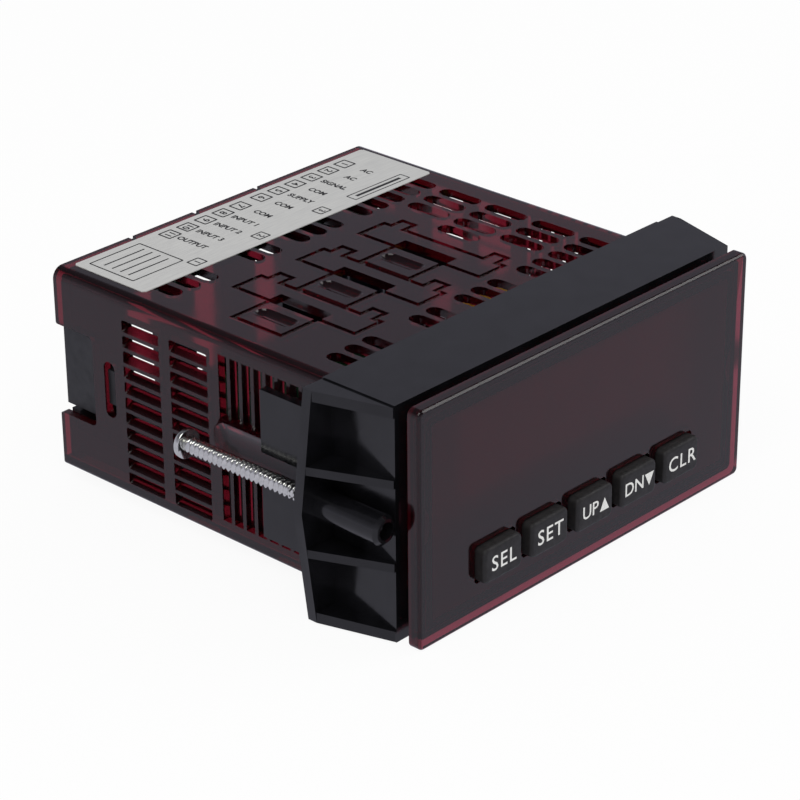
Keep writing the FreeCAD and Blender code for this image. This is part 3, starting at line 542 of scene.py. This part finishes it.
def on_bezel_rim(edge):
    """Edges of the chamfer round the bezel's front: level, near the outline, and turned enough."""
    x, y, z = points_mm(edge)
    outer = np.abs(x).min() > case_high[0] - RIM_BAND or np.abs(z).min() > case_high[2] - RIM_BAND
    depth = y[0] - BEZEL_FRONT
    level = np.ptp(y) < NEAR and min(abs(depth), abs(depth - RIM_CHAMFER)) < NEAR
    return outer and level and edge.calc_face_angle() > math.radians(RIM_TURN_DEG)


def in_side_wall(edge):
    """Corners of the louvres: level edges right through a side wall, with long edges beside them."""
    x, y, _ = points_mm(edge)
    x = np.abs(x)
    beside = [e.calc_length() / MM for v in edge.verts for e in v.link_edges if e is not edge]
    across = x.min() > SIDE_INNER - INNER_SLACK and np.ptp(x) > LONG_EDGE and np.ptp(y) < LEVEL
    return across and y.min() > LOUVRE_FROM and min(beside) > LONG_EDGE


case_rounds = [(on_bezel_rim, RIM_ROUND, 3), (in_side_wall, LOUVRE_ROUND, 4)]
case_shell = moulding("case_shell", "case", CASE_PLASTIC, "meter", case_rounds)


# %% [markdown]
# The mould leaves some faces of the case dull: the back of the display window, and the sides of the
# louvres a little. They could be split off with a material of their own, but the plastic is one and the
# same. So a number on each face says how matt it is, and the material reads it.

# %% Matt faces of the case
WINDOW_BACK = 3.0
LOUVRE_DULL = 0.35
FACES_BACK = 0.9
FACES_SIDEWAYS = 0.7


def face_values(mesh, what):
    """A vector of every face, such as its centre or its normal, as arrays of x, y and z."""
    flat = np.zeros(len(mesh.polygons) * 3)
    mesh.polygons.foreach_get(what, flat)
    return flat.reshape(-1, 3).T


def dull_shares(mesh):
    """How matt each face is: the back of the display window fully, the sides of the louvres a third."""
    x, y, _ = np.abs(face_values(mesh, "center")) / MM
    turn_x, turn_y, _ = face_values(mesh, "normal")
    inside_wall = (x > SIDE_INNER + INNER_SLACK) & (x < SIDE_OUTER - OUTER_SLACK)
    in_louvre = inside_wall & (y > LOUVRE_FROM) & (np.abs(turn_x) < FACES_SIDEWAYS)
    behind_window = (turn_y > FACES_BACK) & (y < WINDOW_BACK) & (x < SIDE_INNER)
    return np.where(behind_window, 1.0, LOUVRE_DULL * in_louvre)


dull = dull_shares(case_shell.data)
case_shell.data.attributes.new(DULL_SHARE, "FLOAT", "FACE").data.foreach_set("value", dull)
print("matt faces of the case:", np.count_nonzero(dull))


# %% [markdown]
# The latch is a collar with wings, ribs and bosses for the screws. Its outward corners are rounded,
# apart from the bosses and bores, which are made of narrow, flat strips. The corners could be picked
# by hand in the editor, but a test of angle and length finds them again when the solid changes.

# %% Rounds of the latch
LATCH_TURN_DEG = 40
LATCH_EDGE = 0.6
LATCH_ROUND = 0.2


def is_outer_edge(edge):
    """Outward corners of the latch that are not part of a bore or boss."""
    turned_enough = edge.calc_face_angle() > math.radians(LATCH_TURN_DEG)
    return edge.is_convex and turned_enough and edge.calc_length() / MM > LATCH_EDGE


latch_rounds = [(is_outer_edge, LATCH_ROUND, 2)]
moulding("latch_moulding", "panel_latch", LATCH_PLASTIC, "latch", latch_rounds)


# %% [markdown]
# The two long screws of the latch are a thread-forming type with a pan head. A screw modifier could
# wind a profile into a thread, but its ends would still need closing. Here the thread is one surface:
# the radius of a ring follows a triangle wave whose phase turns once per pitch as the ring goes round,
# which makes the ridge climb as a helix and lets it fade out at both ends.

# %% Thread
THREAD_PITCH = 1.27
THREAD_CORE = 1.22
THREAD_CREST = 1.75
THREAD_FLANK = 0.36
RINGS_PER_TURN = 10
SCREW_POINTS = 40
TIP_FADE = 2.0
TIP_RIDGE = 0.25
TIP_TAPER = 1.6
TIP_SHARE = 0.55
HEAD_FADE = 0.8


def thread_rings(x, z, tip, seat):
    """Radius = core + depth * triangle wave of (position / pitch - angle), faded at tip and head."""
    count = int((seat - tip) / THREAD_PITCH * RINGS_PER_TURN)
    y = np.linspace(tip, seat, count)[:, None]
    angle = np.linspace(0, 2 * np.pi, SCREW_POINTS, endpoint=False)[None, :]
    phase = (y / THREAD_PITCH - angle / (2 * np.pi)) % 1.0
    wave = np.clip(1 - np.abs(phase - 0.5) / THREAD_FLANK, 0, 1)
    fade = np.clip((y - tip) / TIP_FADE, TIP_RIDGE, 1) * np.clip((seat - y) / HEAD_FADE, 0, 1)
    core = np.clip((y - tip) / TIP_TAPER + TIP_SHARE, 0, 1) * THREAD_CORE
    radius = core + (THREAD_CREST - THREAD_CORE) * wave * fade
    return np.stack([x + radius * np.cos(angle), y + 0 * angle, z + radius * np.sin(angle)], -1)


print("thread depth in mm:", round(THREAD_CREST - THREAD_CORE, 2))


# %% [markdown]
# The head goes on from the thread as more rings: a flat underside, a short rim and a dome on a quarter
# ellipse. A boolean could cut the slot for the driver, but here the points inside the slot's width are
# pressed down to its floor, which keeps the grid whole.

# %% Slotted heads
HEAD_R = 3.1
HEAD_H = 2.0
HEAD_RIM = 0.9
HEAD_EDGE = 0.15
DOME_RINGS = 8
DRIVE_W = 0.9
DRIVE_DEPTH = 0.8


def slotted_rings(x, z, outline, angle, slot_w, slot_floor):
    """A ring for each (radius, y), with y pressed down to the slot's floor inside the slot's width."""
    rings = []
    for radius, y in outline:
        u, v = radius * np.cos(angle), radius * np.sin(angle)
        in_slot = (np.abs(v) < slot_w / 2) & (y > slot_floor)
        rings.append(np.stack([x + u, np.where(in_slot, slot_floor, y), z + v], -1))
    return np.stack(rings)


def head_rings(x, z, seat, top):
    """Underside, rim and slotted dome: rings out to the rim, then in again on a quarter ellipse."""
    angle = np.linspace(0, 2 * np.pi, SCREW_POINTS, endpoint=False)
    rim = seat + HEAD_RIM
    outline = [(THREAD_CORE, seat), (HEAD_R - HEAD_EDGE, seat), (HEAD_R, seat + HEAD_EDGE), (HEAD_R, rim)]
    for climb in np.linspace(0, np.pi / 2, DOME_RINGS + 1)[1:]:
        outline.append((HEAD_R * math.cos(climb), rim + (top - rim) * math.sin(climb)))
    return slotted_rings(x, z, outline, angle, DRIVE_W, top - DRIVE_DEPTH)


print("rings of a head:", len(head_rings(0, 0, 0, HEAD_H)))


# %% [markdown]
# Each long screw is one skin: a pole at the tip, the thread, then the head. Shank and head could be two
# pieces that touch, but one skin leaves no gap or overlap between them.

# %% Long screws
for side in ("left", "right"):
    node = f"latch_screw_{side}"
    low, high = span(node)
    x, _, z = middle(node)
    seat = high[1] - HEAD_H
    shank = thread_rings(x, z, low[1], seat)
    tip_pole = np.repeat([[[x, low[1], z]]], shank.shape[1], axis=1)
    rings = np.concatenate([tip_pole, shank, head_rings(x, z, seat, high[1])])
    piece = f"threaded_screw_{side}"
    screw = add_piece(piece, [loft(rings)], ZINC, node, node, sharp_deg=50)
    print(screw.name, "faces:", len(screw.data.polygons))


# %% [markdown]
# Five silicone keys stand out of the front. A bevelled box would give the outline, but not the slight
# crown that keeps the light moving over the face. So each key is a stack of rounded rectangles: a
# contact pill, a stem, a flange behind the wall, a straight side, then rings on a quarter circle that
# turn into a crowned face.

# %% Rubber keys
KEYS = {"key_select": "SEL", "key_set": "SET", "key_up": "UP", "key_down": "DN", "key_clear": "CLR"}
KEY_FLANGE = 0.9
KEY_CORNER = 1.3
KEY_EDGE = 0.8
EDGE_RINGS = 7
CORNER_SHRINK = 0.8
KEY_CROWN = 0.05
CROWN_SHARE = 0.55
CROWN_RISE = 0.6
CROWN_CORNER = 0.6
FLANGE_FRONT = 0.15
FLANGE_BACK = 1.15
STEM_INSET = 0.75
PILL_R = 1.8
PILL_H = 1.2
PILL_CORNER = 0.1
SMALL_CORNER = 0.2
POLE = (0.0, 0.0, 0.0)
PRINT_LIFT = 0.015


def key_rings(node):
    """Sections from the contact pill to the face, whose edge follows a quarter circle."""
    low, high = span(node)
    x, _, z = middle(node)
    w, h = (high[0] - low[0]) / 2 - KEY_FLANGE, (high[2] - low[2]) / 2 - KEY_FLANGE
    front = low[1] + PRINT_LIFT + KEY_CROWN
    back = high[1]
    stem_back = back - PILL_H
    pill = (PILL_R, PILL_R, PILL_CORNER)
    stem = (w - STEM_INSET, h - STEM_INSET, SMALL_CORNER)
    flange = (w + KEY_FLANGE, h + KEY_FLANGE, SMALL_CORNER)
    sections = [(back, *POLE), (back, *pill), (stem_back, *pill), (stem_back, *stem), (FLANGE_BACK, *stem)]
    sections += [(FLANGE_BACK, *flange), (FLANGE_FRONT, *flange), (FLANGE_FRONT, w, h, KEY_CORNER)]
    for turn in np.linspace(0, np.pi / 2, EDGE_RINGS):
        inset = KEY_EDGE * (1 - math.cos(turn))
        y = front + KEY_EDGE * (1 - math.sin(turn))
        sections.append((y, w - inset, h - inset, KEY_CORNER - inset * CORNER_SHRINK))
    sections.append((front - KEY_CROWN * CROWN_RISE, w * CROWN_SHARE, h * CROWN_SHARE, CROWN_CORNER))
    sections.append((front - KEY_CROWN, *POLE))
    return depth_rings(x, z, sections), (x, front - KEY_CROWN, z)


key_faces = {}
for node in KEYS:
    rings, key_faces[node] = key_rings(node)
    add_piece(f"{node}_cap", [loft(rings)], KEY_RUBBER, node, node, sharp_deg=50)
print("key faces at", {k: [round(float(c), 2) for c in v] for k, v in key_faces.items()})


# %% [markdown]
# The words on the keys are a thin film of white ink. They could be painted by the material, but meshes
# keep their edges sharp from close by. So they are flat meshes a hair above the rubber: letters from
# Blender's own font, and a triangle for an arrow.

# %% Letters and arrows
def text_points(words, height, bold=0.0, spacing=1.0):
    """Flat mesh of a word in its own plane, centred, as points in mm and faces."""
    curve = bpy.data.curves.new("letters", "FONT")
    curve.body = words
    curve.size = height
    curve.offset = bold
    curve.space_character = spacing
    curve.align_x, curve.align_y = "CENTER", "CENTER"
    curve.resolution_u = 3
    holder = bpy.data.objects.new("letters", curve)
    bpy.context.scene.collection.objects.link(holder)
    shown = holder.evaluated_get(bpy.context.evaluated_depsgraph_get())
    mesh = bpy.data.meshes.new_from_object(shown)
    bpy.data.objects.remove(holder)
    flat = np.zeros(len(mesh.vertices) * 3)
    mesh.vertices.foreach_get("co", flat)
    faces = [list(p.vertices) for p in mesh.polygons]
    bpy.data.meshes.remove(mesh)
    return flat.reshape(-1, 3)[:, :2], faces


def upright_print(flat, faces, x, y, z):
    """Puts flat print on a wall that faces the front: u runs to the right and v up."""
    return np.stack([x + flat[:, 0], np.full(len(flat), y), z + flat[:, 1]], -1), faces


def arrow(size, sign):
    """A triangle as wide as it is high that points up (1) or down (-1), facing the same way."""
    half = size / 2
    points = np.array([[-half, -sign * half], [half, -sign * half], [0, sign * half]])
    return points, [[0, 1, 2] if sign > 0 else [0, 2, 1]]


print("corners of an arrow:", arrow(1.0, 1)[0].tolist())


# %% [markdown]
# Each key gets its word, and the up and down keys an arrow beside it. The two could be centred by eye,
# but here the word moves to the left by half of the arrow's width and gap, so that the pair sits in the
# middle of the key.

# %% Key legends
LETTER_H = 4.5
LETTER_BOLD = 0.035
LETTER_SPACING = 1.15
SMALL_LETTER_H = 0.9 * LETTER_H
ARROW_W = 2.8
ARROW_GAP = 0.4
ARROWS = {"key_up": 1, "key_down": -1}

for node, words in KEYS.items():
    x, y, z = key_faces[node]
    print_y = y - PRINT_LIFT
    if node in ARROWS:
        shift = -(ARROW_W + ARROW_GAP) / 2
        flat, faces = text_points(words, SMALL_LETTER_H, LETTER_BOLD)
        arrow_x = x + (shift + flat[:, 0].max() + ARROW_GAP) + ARROW_W / 2
        parts = [upright_print(flat, faces, x + shift, print_y, z)]
        parts.append(upright_print(*arrow(ARROW_W, ARROWS[node]), arrow_x, print_y, z))
    else:
        parts = [upright_print(*text_points(words, LETTER_H, LETTER_BOLD, LETTER_SPACING), x, print_y, z)]
    add_piece(f"{node}_legend", parts, WHITE_INK, node, turn=False)
print("legends:", list(KEYS.values()))


# %% [markdown]
# A silver film on the top of the case carries the terminal numbers, each in its own frame, plain words
# and ruled fields. The numbers could be spaced by eye, but they belong to the poles of the terminal
# blocks below, so their places are worked out from the blocks and the pitch.

# %% Places on the label
POLE_PITCH = 5.08
BLOCK_END = 0.25
label_low, label_high = span("terminal_label")
INK_LIFT = 0.01
PRINT_Z = label_high[2] + INK_LIFT


def poles_of(block, count):
    """Middles of a block's poles from the right: half a pitch in from its end, then one pitch apart."""
    first = span(block)[1][0] - POLE_PITCH / 2 + BLOCK_END
    return [first - i * POLE_PITCH for i in range(count)]


POLES = poles_of("terminal_block_6", 6) + poles_of("terminal_block_5", 5)
WORDS = ("AC", "AC", "SIGNAL", "COM", "SUPPLY", "COM", "COM", "INPUT 1", "INPUT 2", "INPUT 3", "OUTPUT")
NUMBER_Y = 94.75
WORDS_Y = NUMBER_Y - 6.6
FRONT_ROW = label_low[1] + 3.0
NOTES_X = (label_low[0] + POLES[-1] - POLE_PITCH) / 2
NOTES_Y = 89.4
STRIP_X = 29.0
print("poles at", [round(float(x), 2) for x in POLES])


# %% [markdown]
# The print on the label is a film of black ink. A picture would be the quick way to it, but meshes stay
# sharp from close by and need no file. The label reads from the back, so its print is turned half
# round. Letters come from text, and frames from strips.

# %% Label print
# A box is half width, half depth and line, a bar half width and half depth, and a type height and boldness
NUMBER_BOX, NUMBER_TYPE = (1.85, 1.85, 0.4), (2.5, 0.06)
WORD_TYPE = (2.1, 0.08)
BAY_BOX, BAY_TYPE = (1.7, 1.5, 0.35), (2.3, 0.05)
NOTES_BOX, NOTES_BAR, NOTES_STEPS = (7.0, 6.6, 0.35), (5.5, 0.2), (-3.6, -1.2, 1.2, 3.6)
STRIP_BOX, STRIP_BAR = (8.5, 1.5, 0.3), (6.8, 0.4)
OUTER_CORNER, INNER_CORNER, CORNER_STEPS = 0.3, 0.2, 2


def lying_print(flat, faces, x, y):
    """Puts flat print on the top: it reads from the back, so u runs to the left and v to the front."""
    return np.stack([x - flat[:, 0], y - flat[:, 1], np.full(len(flat), PRINT_Z)], -1), faces


def turned(flat, faces):
    """Flat print turned a quarter, so that it runs along the depth."""
    return np.stack([-flat[:, 1], flat[:, 0]], -1), faces


def bar(half_u, half_v):
    """A filled rectangle."""
    corners = np.array([[-1, -1], [1, -1], [1, 1], [-1, 1]])
    return corners * np.array([half_u, half_v]), [[0, 1, 2, 3]]


def frame_lines(half_u, half_v, line):
    """A hollow rectangle: the strip between an outer and an inner ring with rounded corners."""
    outer = rounded_ring(half_u, half_v, OUTER_CORNER, CORNER_STEPS)
    inner = rounded_ring(half_u - line, half_v - line, INNER_CORNER, CORNER_STEPS)
    return np.concatenate([outer, inner]), grid_faces(2, len(outer))


parts = []
for pole, (x, words) in enumerate(zip(POLES, WORDS), 1):
    parts.append(lying_print(*frame_lines(*NUMBER_BOX), x, NUMBER_Y))
    parts.append(lying_print(*text_points(str(pole), *NUMBER_TYPE), x, NUMBER_Y))
    parts.append(lying_print(*turned(*text_points(words, *WORD_TYPE)), x, WORDS_Y))
for bay in range(1, 4):
    x = middle(f"option_connector_{bay}")[0]
    parts.append(lying_print(*frame_lines(*BAY_BOX), x, FRONT_ROW))
    parts.append(lying_print(*text_points(str(bay), *BAY_TYPE), x, FRONT_ROW))
parts.append(lying_print(*frame_lines(*NOTES_BOX), NOTES_X, NOTES_Y))
parts += [lying_print(*bar(*NOTES_BAR), NOTES_X, NOTES_Y + step) for step in NOTES_STEPS]
parts.append(lying_print(*frame_lines(*STRIP_BOX), STRIP_X, FRONT_ROW))
parts.append(lying_print(*bar(*STRIP_BAR), STRIP_X, FRONT_ROW))
add_piece("label_print", parts, BLACK_INK, "meter", turn=False)
print("label print parts:", len(parts))


# %% [markdown]
# Each pole of a terminal block has a slotted clamp screw in a round well. A slot could be cut by a
# boolean, but the rings of the latch screws serve again, only smaller and flat on top.

# %% Clamp screws
CLAMP_R = 1.3
CLAMP_EDGE = 0.15
CLAMP_SLOT_W = 0.5
CLAMP_SLOT_DEPTH = 0.6
CLAMP_RINGS = (0.75, 0.5, 0.25, 0.0)
CLAMP_POINTS = 32


def clamp_rings(x, z, seat, top):
    """A short cylinder with a cut rim and a slot across its face: rings out, up and in again."""
    angle = np.linspace(0, 2 * np.pi, CLAMP_POINTS, endpoint=False) + np.pi / CLAMP_POINTS
    outline = [(0.0, seat), (CLAMP_R, seat), (CLAMP_R, top - CLAMP_EDGE), (CLAMP_R - CLAMP_EDGE, top)]
    outline += [(CLAMP_R * share, top) for share in CLAMP_RINGS]
    return slotted_rings(x, z, outline, angle, CLAMP_SLOT_W, top - CLAMP_SLOT_DEPTH)


clamp_low, clamp_high = span("terminal_screws")
clamp_z = middle("terminal_screws")[2]
parts = [loft(clamp_rings(x, clamp_z, clamp_low[1], clamp_high[1])) for x in POLES]
add_piece("clamp_screws", parts, ZINC, "meter", "terminal_screws", sharp_deg=40)
print("clamp screws:", len(parts))


# %% [markdown]
# Boards, transformer, capacitors and connectors show only in glimpses, through the vents, the smoked
# walls and the open bays. More detail could be modelled, but it would be lost there, so their solids
# keep their shapes and get finishes of their own. The rear cover, the rails, the gasket and the label
# are plain shapes, and are finished in the same way.

# %% Finishes of the inner pieces
FINISHES = {"panel_gasket": SEAL_RUBBER, "keypad_mat": SEAL_RUBBER, "display_board": WHITE_LAMINATE,
            "main_board": LAMINATE, "terminal_board": LAMINATE, "board_header": CONNECTOR_PLASTIC,
            "transformer_core": CORE_STEEL, "transformer_coil": COIL_TAPE, "processor_chip": CHIP_PLASTIC,
            "capacitor_1": SLEEVE, "capacitor_2": SLEEVE, "terminal_block_5": TERMINAL_PLASTIC,
            "terminal_block_6": TERMINAL_PLASTIC, "rear_cover": BASE_PLASTIC,
            "base_rail_left": BASE_PLASTIC, "base_rail_right": BASE_PLASTIC, "terminal_label": FILM}
FINISHES.update({f"led_digit_{i}": DIGIT_FACE for i in range(1, 6)})
FINISHES.update({f"option_connector_{i}": CONNECTOR_PLASTIC for i in range(1, 4)})
for node, finish in FINISHES.items():
    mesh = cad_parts[node].data
    mesh.materials.clear()
    mesh.materials.append(finish)
print("finished nodes:", len(FINISHES))


# %% [markdown]
# Behind the window stand five pale digit blocks, unlit. Each gets seven flat segments a shade lighter
# than its face. A picture of digits would be quicker, but flat bars with pointed ends keep their edges
# from any distance.

# %% Display segments
SEGMENT_L = 5.6
SEGMENT_W = 1.3
SEGMENT_GAP = 0.25
SEGMENT_LIFT = 0.02


def segment(centre, upright_bar):
    """A bar with pointed ends: six corners, lying or standing."""
    half, side = SEGMENT_L / 2, SEGMENT_W / 2
    u = np.array([-half, -half + side, half - side, half, half - side, -half + side])
    v = np.array([0, -side, -side, 0, side, side])
    flat = np.stack([-v, u] if upright_bar else [u, v], -1)
    return flat + np.array(centre), [list(range(6))]


STEP = SEGMENT_L / 2 + SEGMENT_GAP
PLACES = [((0, 2 * STEP), False), ((0, 0), False), ((0, -2 * STEP), False)]
PLACES += [((s * STEP, t * STEP), True) for s in (-1, 1) for t in (-1, 1)]
for i in range(1, 6):
    x, _, z = middle(f"led_digit_{i}")
    y = span(f"led_digit_{i}")[0][1] - SEGMENT_LIFT
    parts = [upright_print(*segment(centre, standing), x, y, z) for centre, standing in PLACES]
    add_piece(f"digit_segments_{i}", parts, SEGMENT, "meter", turn=False)
print("segments per digit:", len(PLACES))


# %% [markdown]
# The meter stands on a sheet of white paper. Strong lamps could burn the paper to white, but they would
# burn the object too. Instead it is white by itself to camera and glass rays, and a little dimmer and
# cooler to mirror rays, and it keeps enough plain surface for a shadow.

# %% Floor
FLOOR_Z = cad_box[0][2]
FLOOR_DROP = 1e-5
FLOOR_R = 2.5
FLOOR_RINGS, FLOOR_SPOKES = 12, 96
FLOOR_WHITE_SHARE = 0.93
FLOOR_MIRRORED = 0.6
MIRROR_WHITE = "#EDECFF"


def white_for_rays(tree, mirrored):
    """Share of rays that see plain white, its strength and its colour: dimmer and cooler in a mirror."""
    ray = add(tree, "LightPath").outputs
    clear = add(tree, "Math", {0: ray["Is Camera Ray"], 1: ray["Is Transmission Ray"]}, operation="MAXIMUM")
    clear = clear.outputs["Value"]
    seen = add(tree, "Math", {0: clear, 1: ray["Is Glossy Ray"]}, operation="MAXIMUM").outputs["Value"]
    mirror = add(tree, "Math", {0: seen, 1: clear}, operation="SUBTRACT").outputs["Value"]
    strength = add(tree, "Math", {0: mirror, 1: mirrored - 1.0, 2: 1.0}, operation="MULTIPLY_ADD")
    white = add(tree, "ValToRGB", {"Fac": mirror}, ((0.0, "#FFFFFF"), (1.0, MIRROR_WHITE)))
    return seen, strength.outputs["Value"], white.outputs["Color"]


def white_paper():
    """White paper: mostly its own white to the eye, with enough plain surface left to hold a shadow."""
    made = bpy.data.materials.new("white_paper_floor")
    made.use_nodes = True
    tree = made.node_tree
    tree.nodes.clear()
    paper = add(tree, "BsdfDiffuse", {"Color": linear("#F4F4F4")})
    seen, strength, white = white_for_rays(tree, FLOOR_MIRRORED)
    glow = add(tree, "Emission", {"Color": white, "Strength": strength})
    share = add(tree, "Math", {0: seen, 1: FLOOR_WHITE_SHARE}, operation="MULTIPLY").outputs["Value"]
    mixed = add(tree, "MixShader", {"Fac": share, 1: paper.outputs["BSDF"], 2: glow.outputs["Emission"]})
    add(tree, "OutputMaterial", {"Surface": mixed.outputs["Shader"]})
    return made


turns = np.linspace(0, 2 * np.pi, FLOOR_SPOKES, endpoint=False)
radii = np.linspace(0.0, FLOOR_R, FLOOR_RINGS)[:, None]
level = np.full((FLOOR_RINGS, FLOOR_SPOKES), FLOOR_Z - FLOOR_DROP)
disc = np.stack([radii * np.cos(turns), radii * np.sin(turns), level], -1)
mesh = bpy.data.meshes.new("studio_floor")
mesh.from_pydata(disc.reshape(-1, 3).tolist(), [], grid_faces(FLOOR_RINGS, FLOOR_SPOKES).tolist())
clean(mesh)
mesh.materials.append(white_paper())
floor = bpy.data.objects.new("studio_floor", mesh)
bpy.context.scene.collection.objects.link(floor)
print("floor at", round(FLOOR_Z / MM, 2), "mm")


# %% [markdown]
# Round the meter is a white tent of light. A plain white world would be simpler, but dark gloss would
# mirror it as one flat grey. So the tent looks white low down, as the floor does, and dims with height,
# which gives dark gloss its shades, while the light that falls on the object stays at a plain level.

# %% Tent
TENT_LIGHT = 0.6
TENT_MIRRORED = 0.64
TENT_FALLS = ((0.1, 0.35, 0.52), (0.47, 0.62, 0.4))


def light_tent():
    """A world that lights evenly and looks like a white wall, which each fall dims between two heights."""
    world = bpy.data.worlds.new("white_tent")
    world.use_nodes = True
    tree = world.node_tree
    tree.nodes.clear()
    plain = add(tree, "Background", {"Color": linear("#FFFFFF"), "Strength": TENT_LIGHT})
    seen, strength, white = white_for_rays(tree, TENT_MIRRORED)
    direction = add(tree, "TexCoord").outputs["Generated"]
    height = add(tree, "SeparateXYZ", {"Vector": direction}).outputs["Z"]
    for low, high, left in TENT_FALLS:
        limits = {"From Min": low, "From Max": high, "To Min": 1.0, "To Max": left}
        fall = add(tree, "MapRange", {"Value": height, **limits}).outputs["Result"]
        strength = add(tree, "Math", {0: strength, 1: fall}, operation="MULTIPLY").outputs["Value"]
    wall = add(tree, "Background", {"Color": white, "Strength": strength})
    sides = {1: plain.outputs["Background"], 2: wall.outputs["Background"]}
    mixed = add(tree, "MixShader", {"Fac": seen, **sides})
    add(tree, "OutputWorld", {"Surface": mixed.outputs["Shader"]})
    return world


bpy.context.scene.world = light_tent()
print("tent:", len(bpy.context.scene.world.node_tree.nodes), "nodes")


# %% [markdown]
# Two square soft lamps add direction to the even light of the tent: a large one from above on the left,
# and a weaker one from the right. A sun or spot would be simpler to aim, but its hard shadows would not
# suit a tent.

# %% Lamps
LAMP_AIM = (0.0, 0.045, 0.0)


def turn_towards(aim):
    """Turn that points a lamp's -Z along a direction, with its Y as far up as it can be."""
    back = -aim / np.linalg.norm(aim)
    right = np.cross([0, 0, 1], back)
    right /= np.linalg.norm(right)
    return Matrix(np.stack([right, np.cross(back, right), back], -1).tolist())


def soft_lamp(name, place, size, power):
    """A square lamp that looks at the middle of the meter."""
    light = bpy.data.lights.new(name, "AREA")
    light.size = size
    light.energy = power
    made = bpy.data.objects.new(name, light)
    made.rotation_euler = turn_towards(np.array(LAMP_AIM) - np.array(place)).to_euler()
    made.location = place
    bpy.context.scene.collection.objects.link(made)


soft_lamp("top_left_softbox", (-0.5, -0.25, 0.9), 0.7, 4.0)
soft_lamp("right_softbox", (0.66, -0.41, 0.62), 0.5, 1.8)


# %% [markdown]
# The view is from the front left and above, through a long lens. A camera could be turned by eye until
# it looks right, but edges that run to the back would then meet at the wrong point. This one has its
# place, turn and focal length solved from corners of the case.

# %% Camera
AZIMUTH, ELEVATION, ROLL = -46.924, 26.297, -0.489
FOCAL_PIXELS, IMAGE_PIXELS, SENSOR = 3023.06, 800, 36.0
CAMERA_MM = (-404.985, -331.259, 267.192)
az, el, roll = (math.radians(v) for v in (AZIMUTH, ELEVATION, ROLL))
back = np.array([math.sin(az) * math.cos(el), -math.cos(az) * math.cos(el), math.sin(el)])
right = np.array([math.cos(az), math.sin(az), 0.0])
up = np.cross(back, right)
across = math.cos(roll) * right + math.sin(roll) * up
upright = math.cos(roll) * up - math.sin(roll) * right
lens = bpy.data.cameras.new("photo_camera")
lens.sensor_width = SENSOR
lens.lens = FOCAL_PIXELS / IMAGE_PIXELS * SENSOR
lens.clip_start, lens.clip_end = 0.01, 20.0
camera = bpy.data.objects.new("photo_camera", lens)
bpy.context.scene.collection.objects.link(camera)
turn = Matrix(np.stack([across, upright, back], -1).tolist()).to_4x4()
camera.matrix_world = Matrix.Translation(np.array(CAMERA_MM) * MM) @ turn
bpy.context.scene.camera = camera
bpy.context.scene.view_settings.view_transform = "Standard"
print("lens in mm:", round(lens.lens, 2))
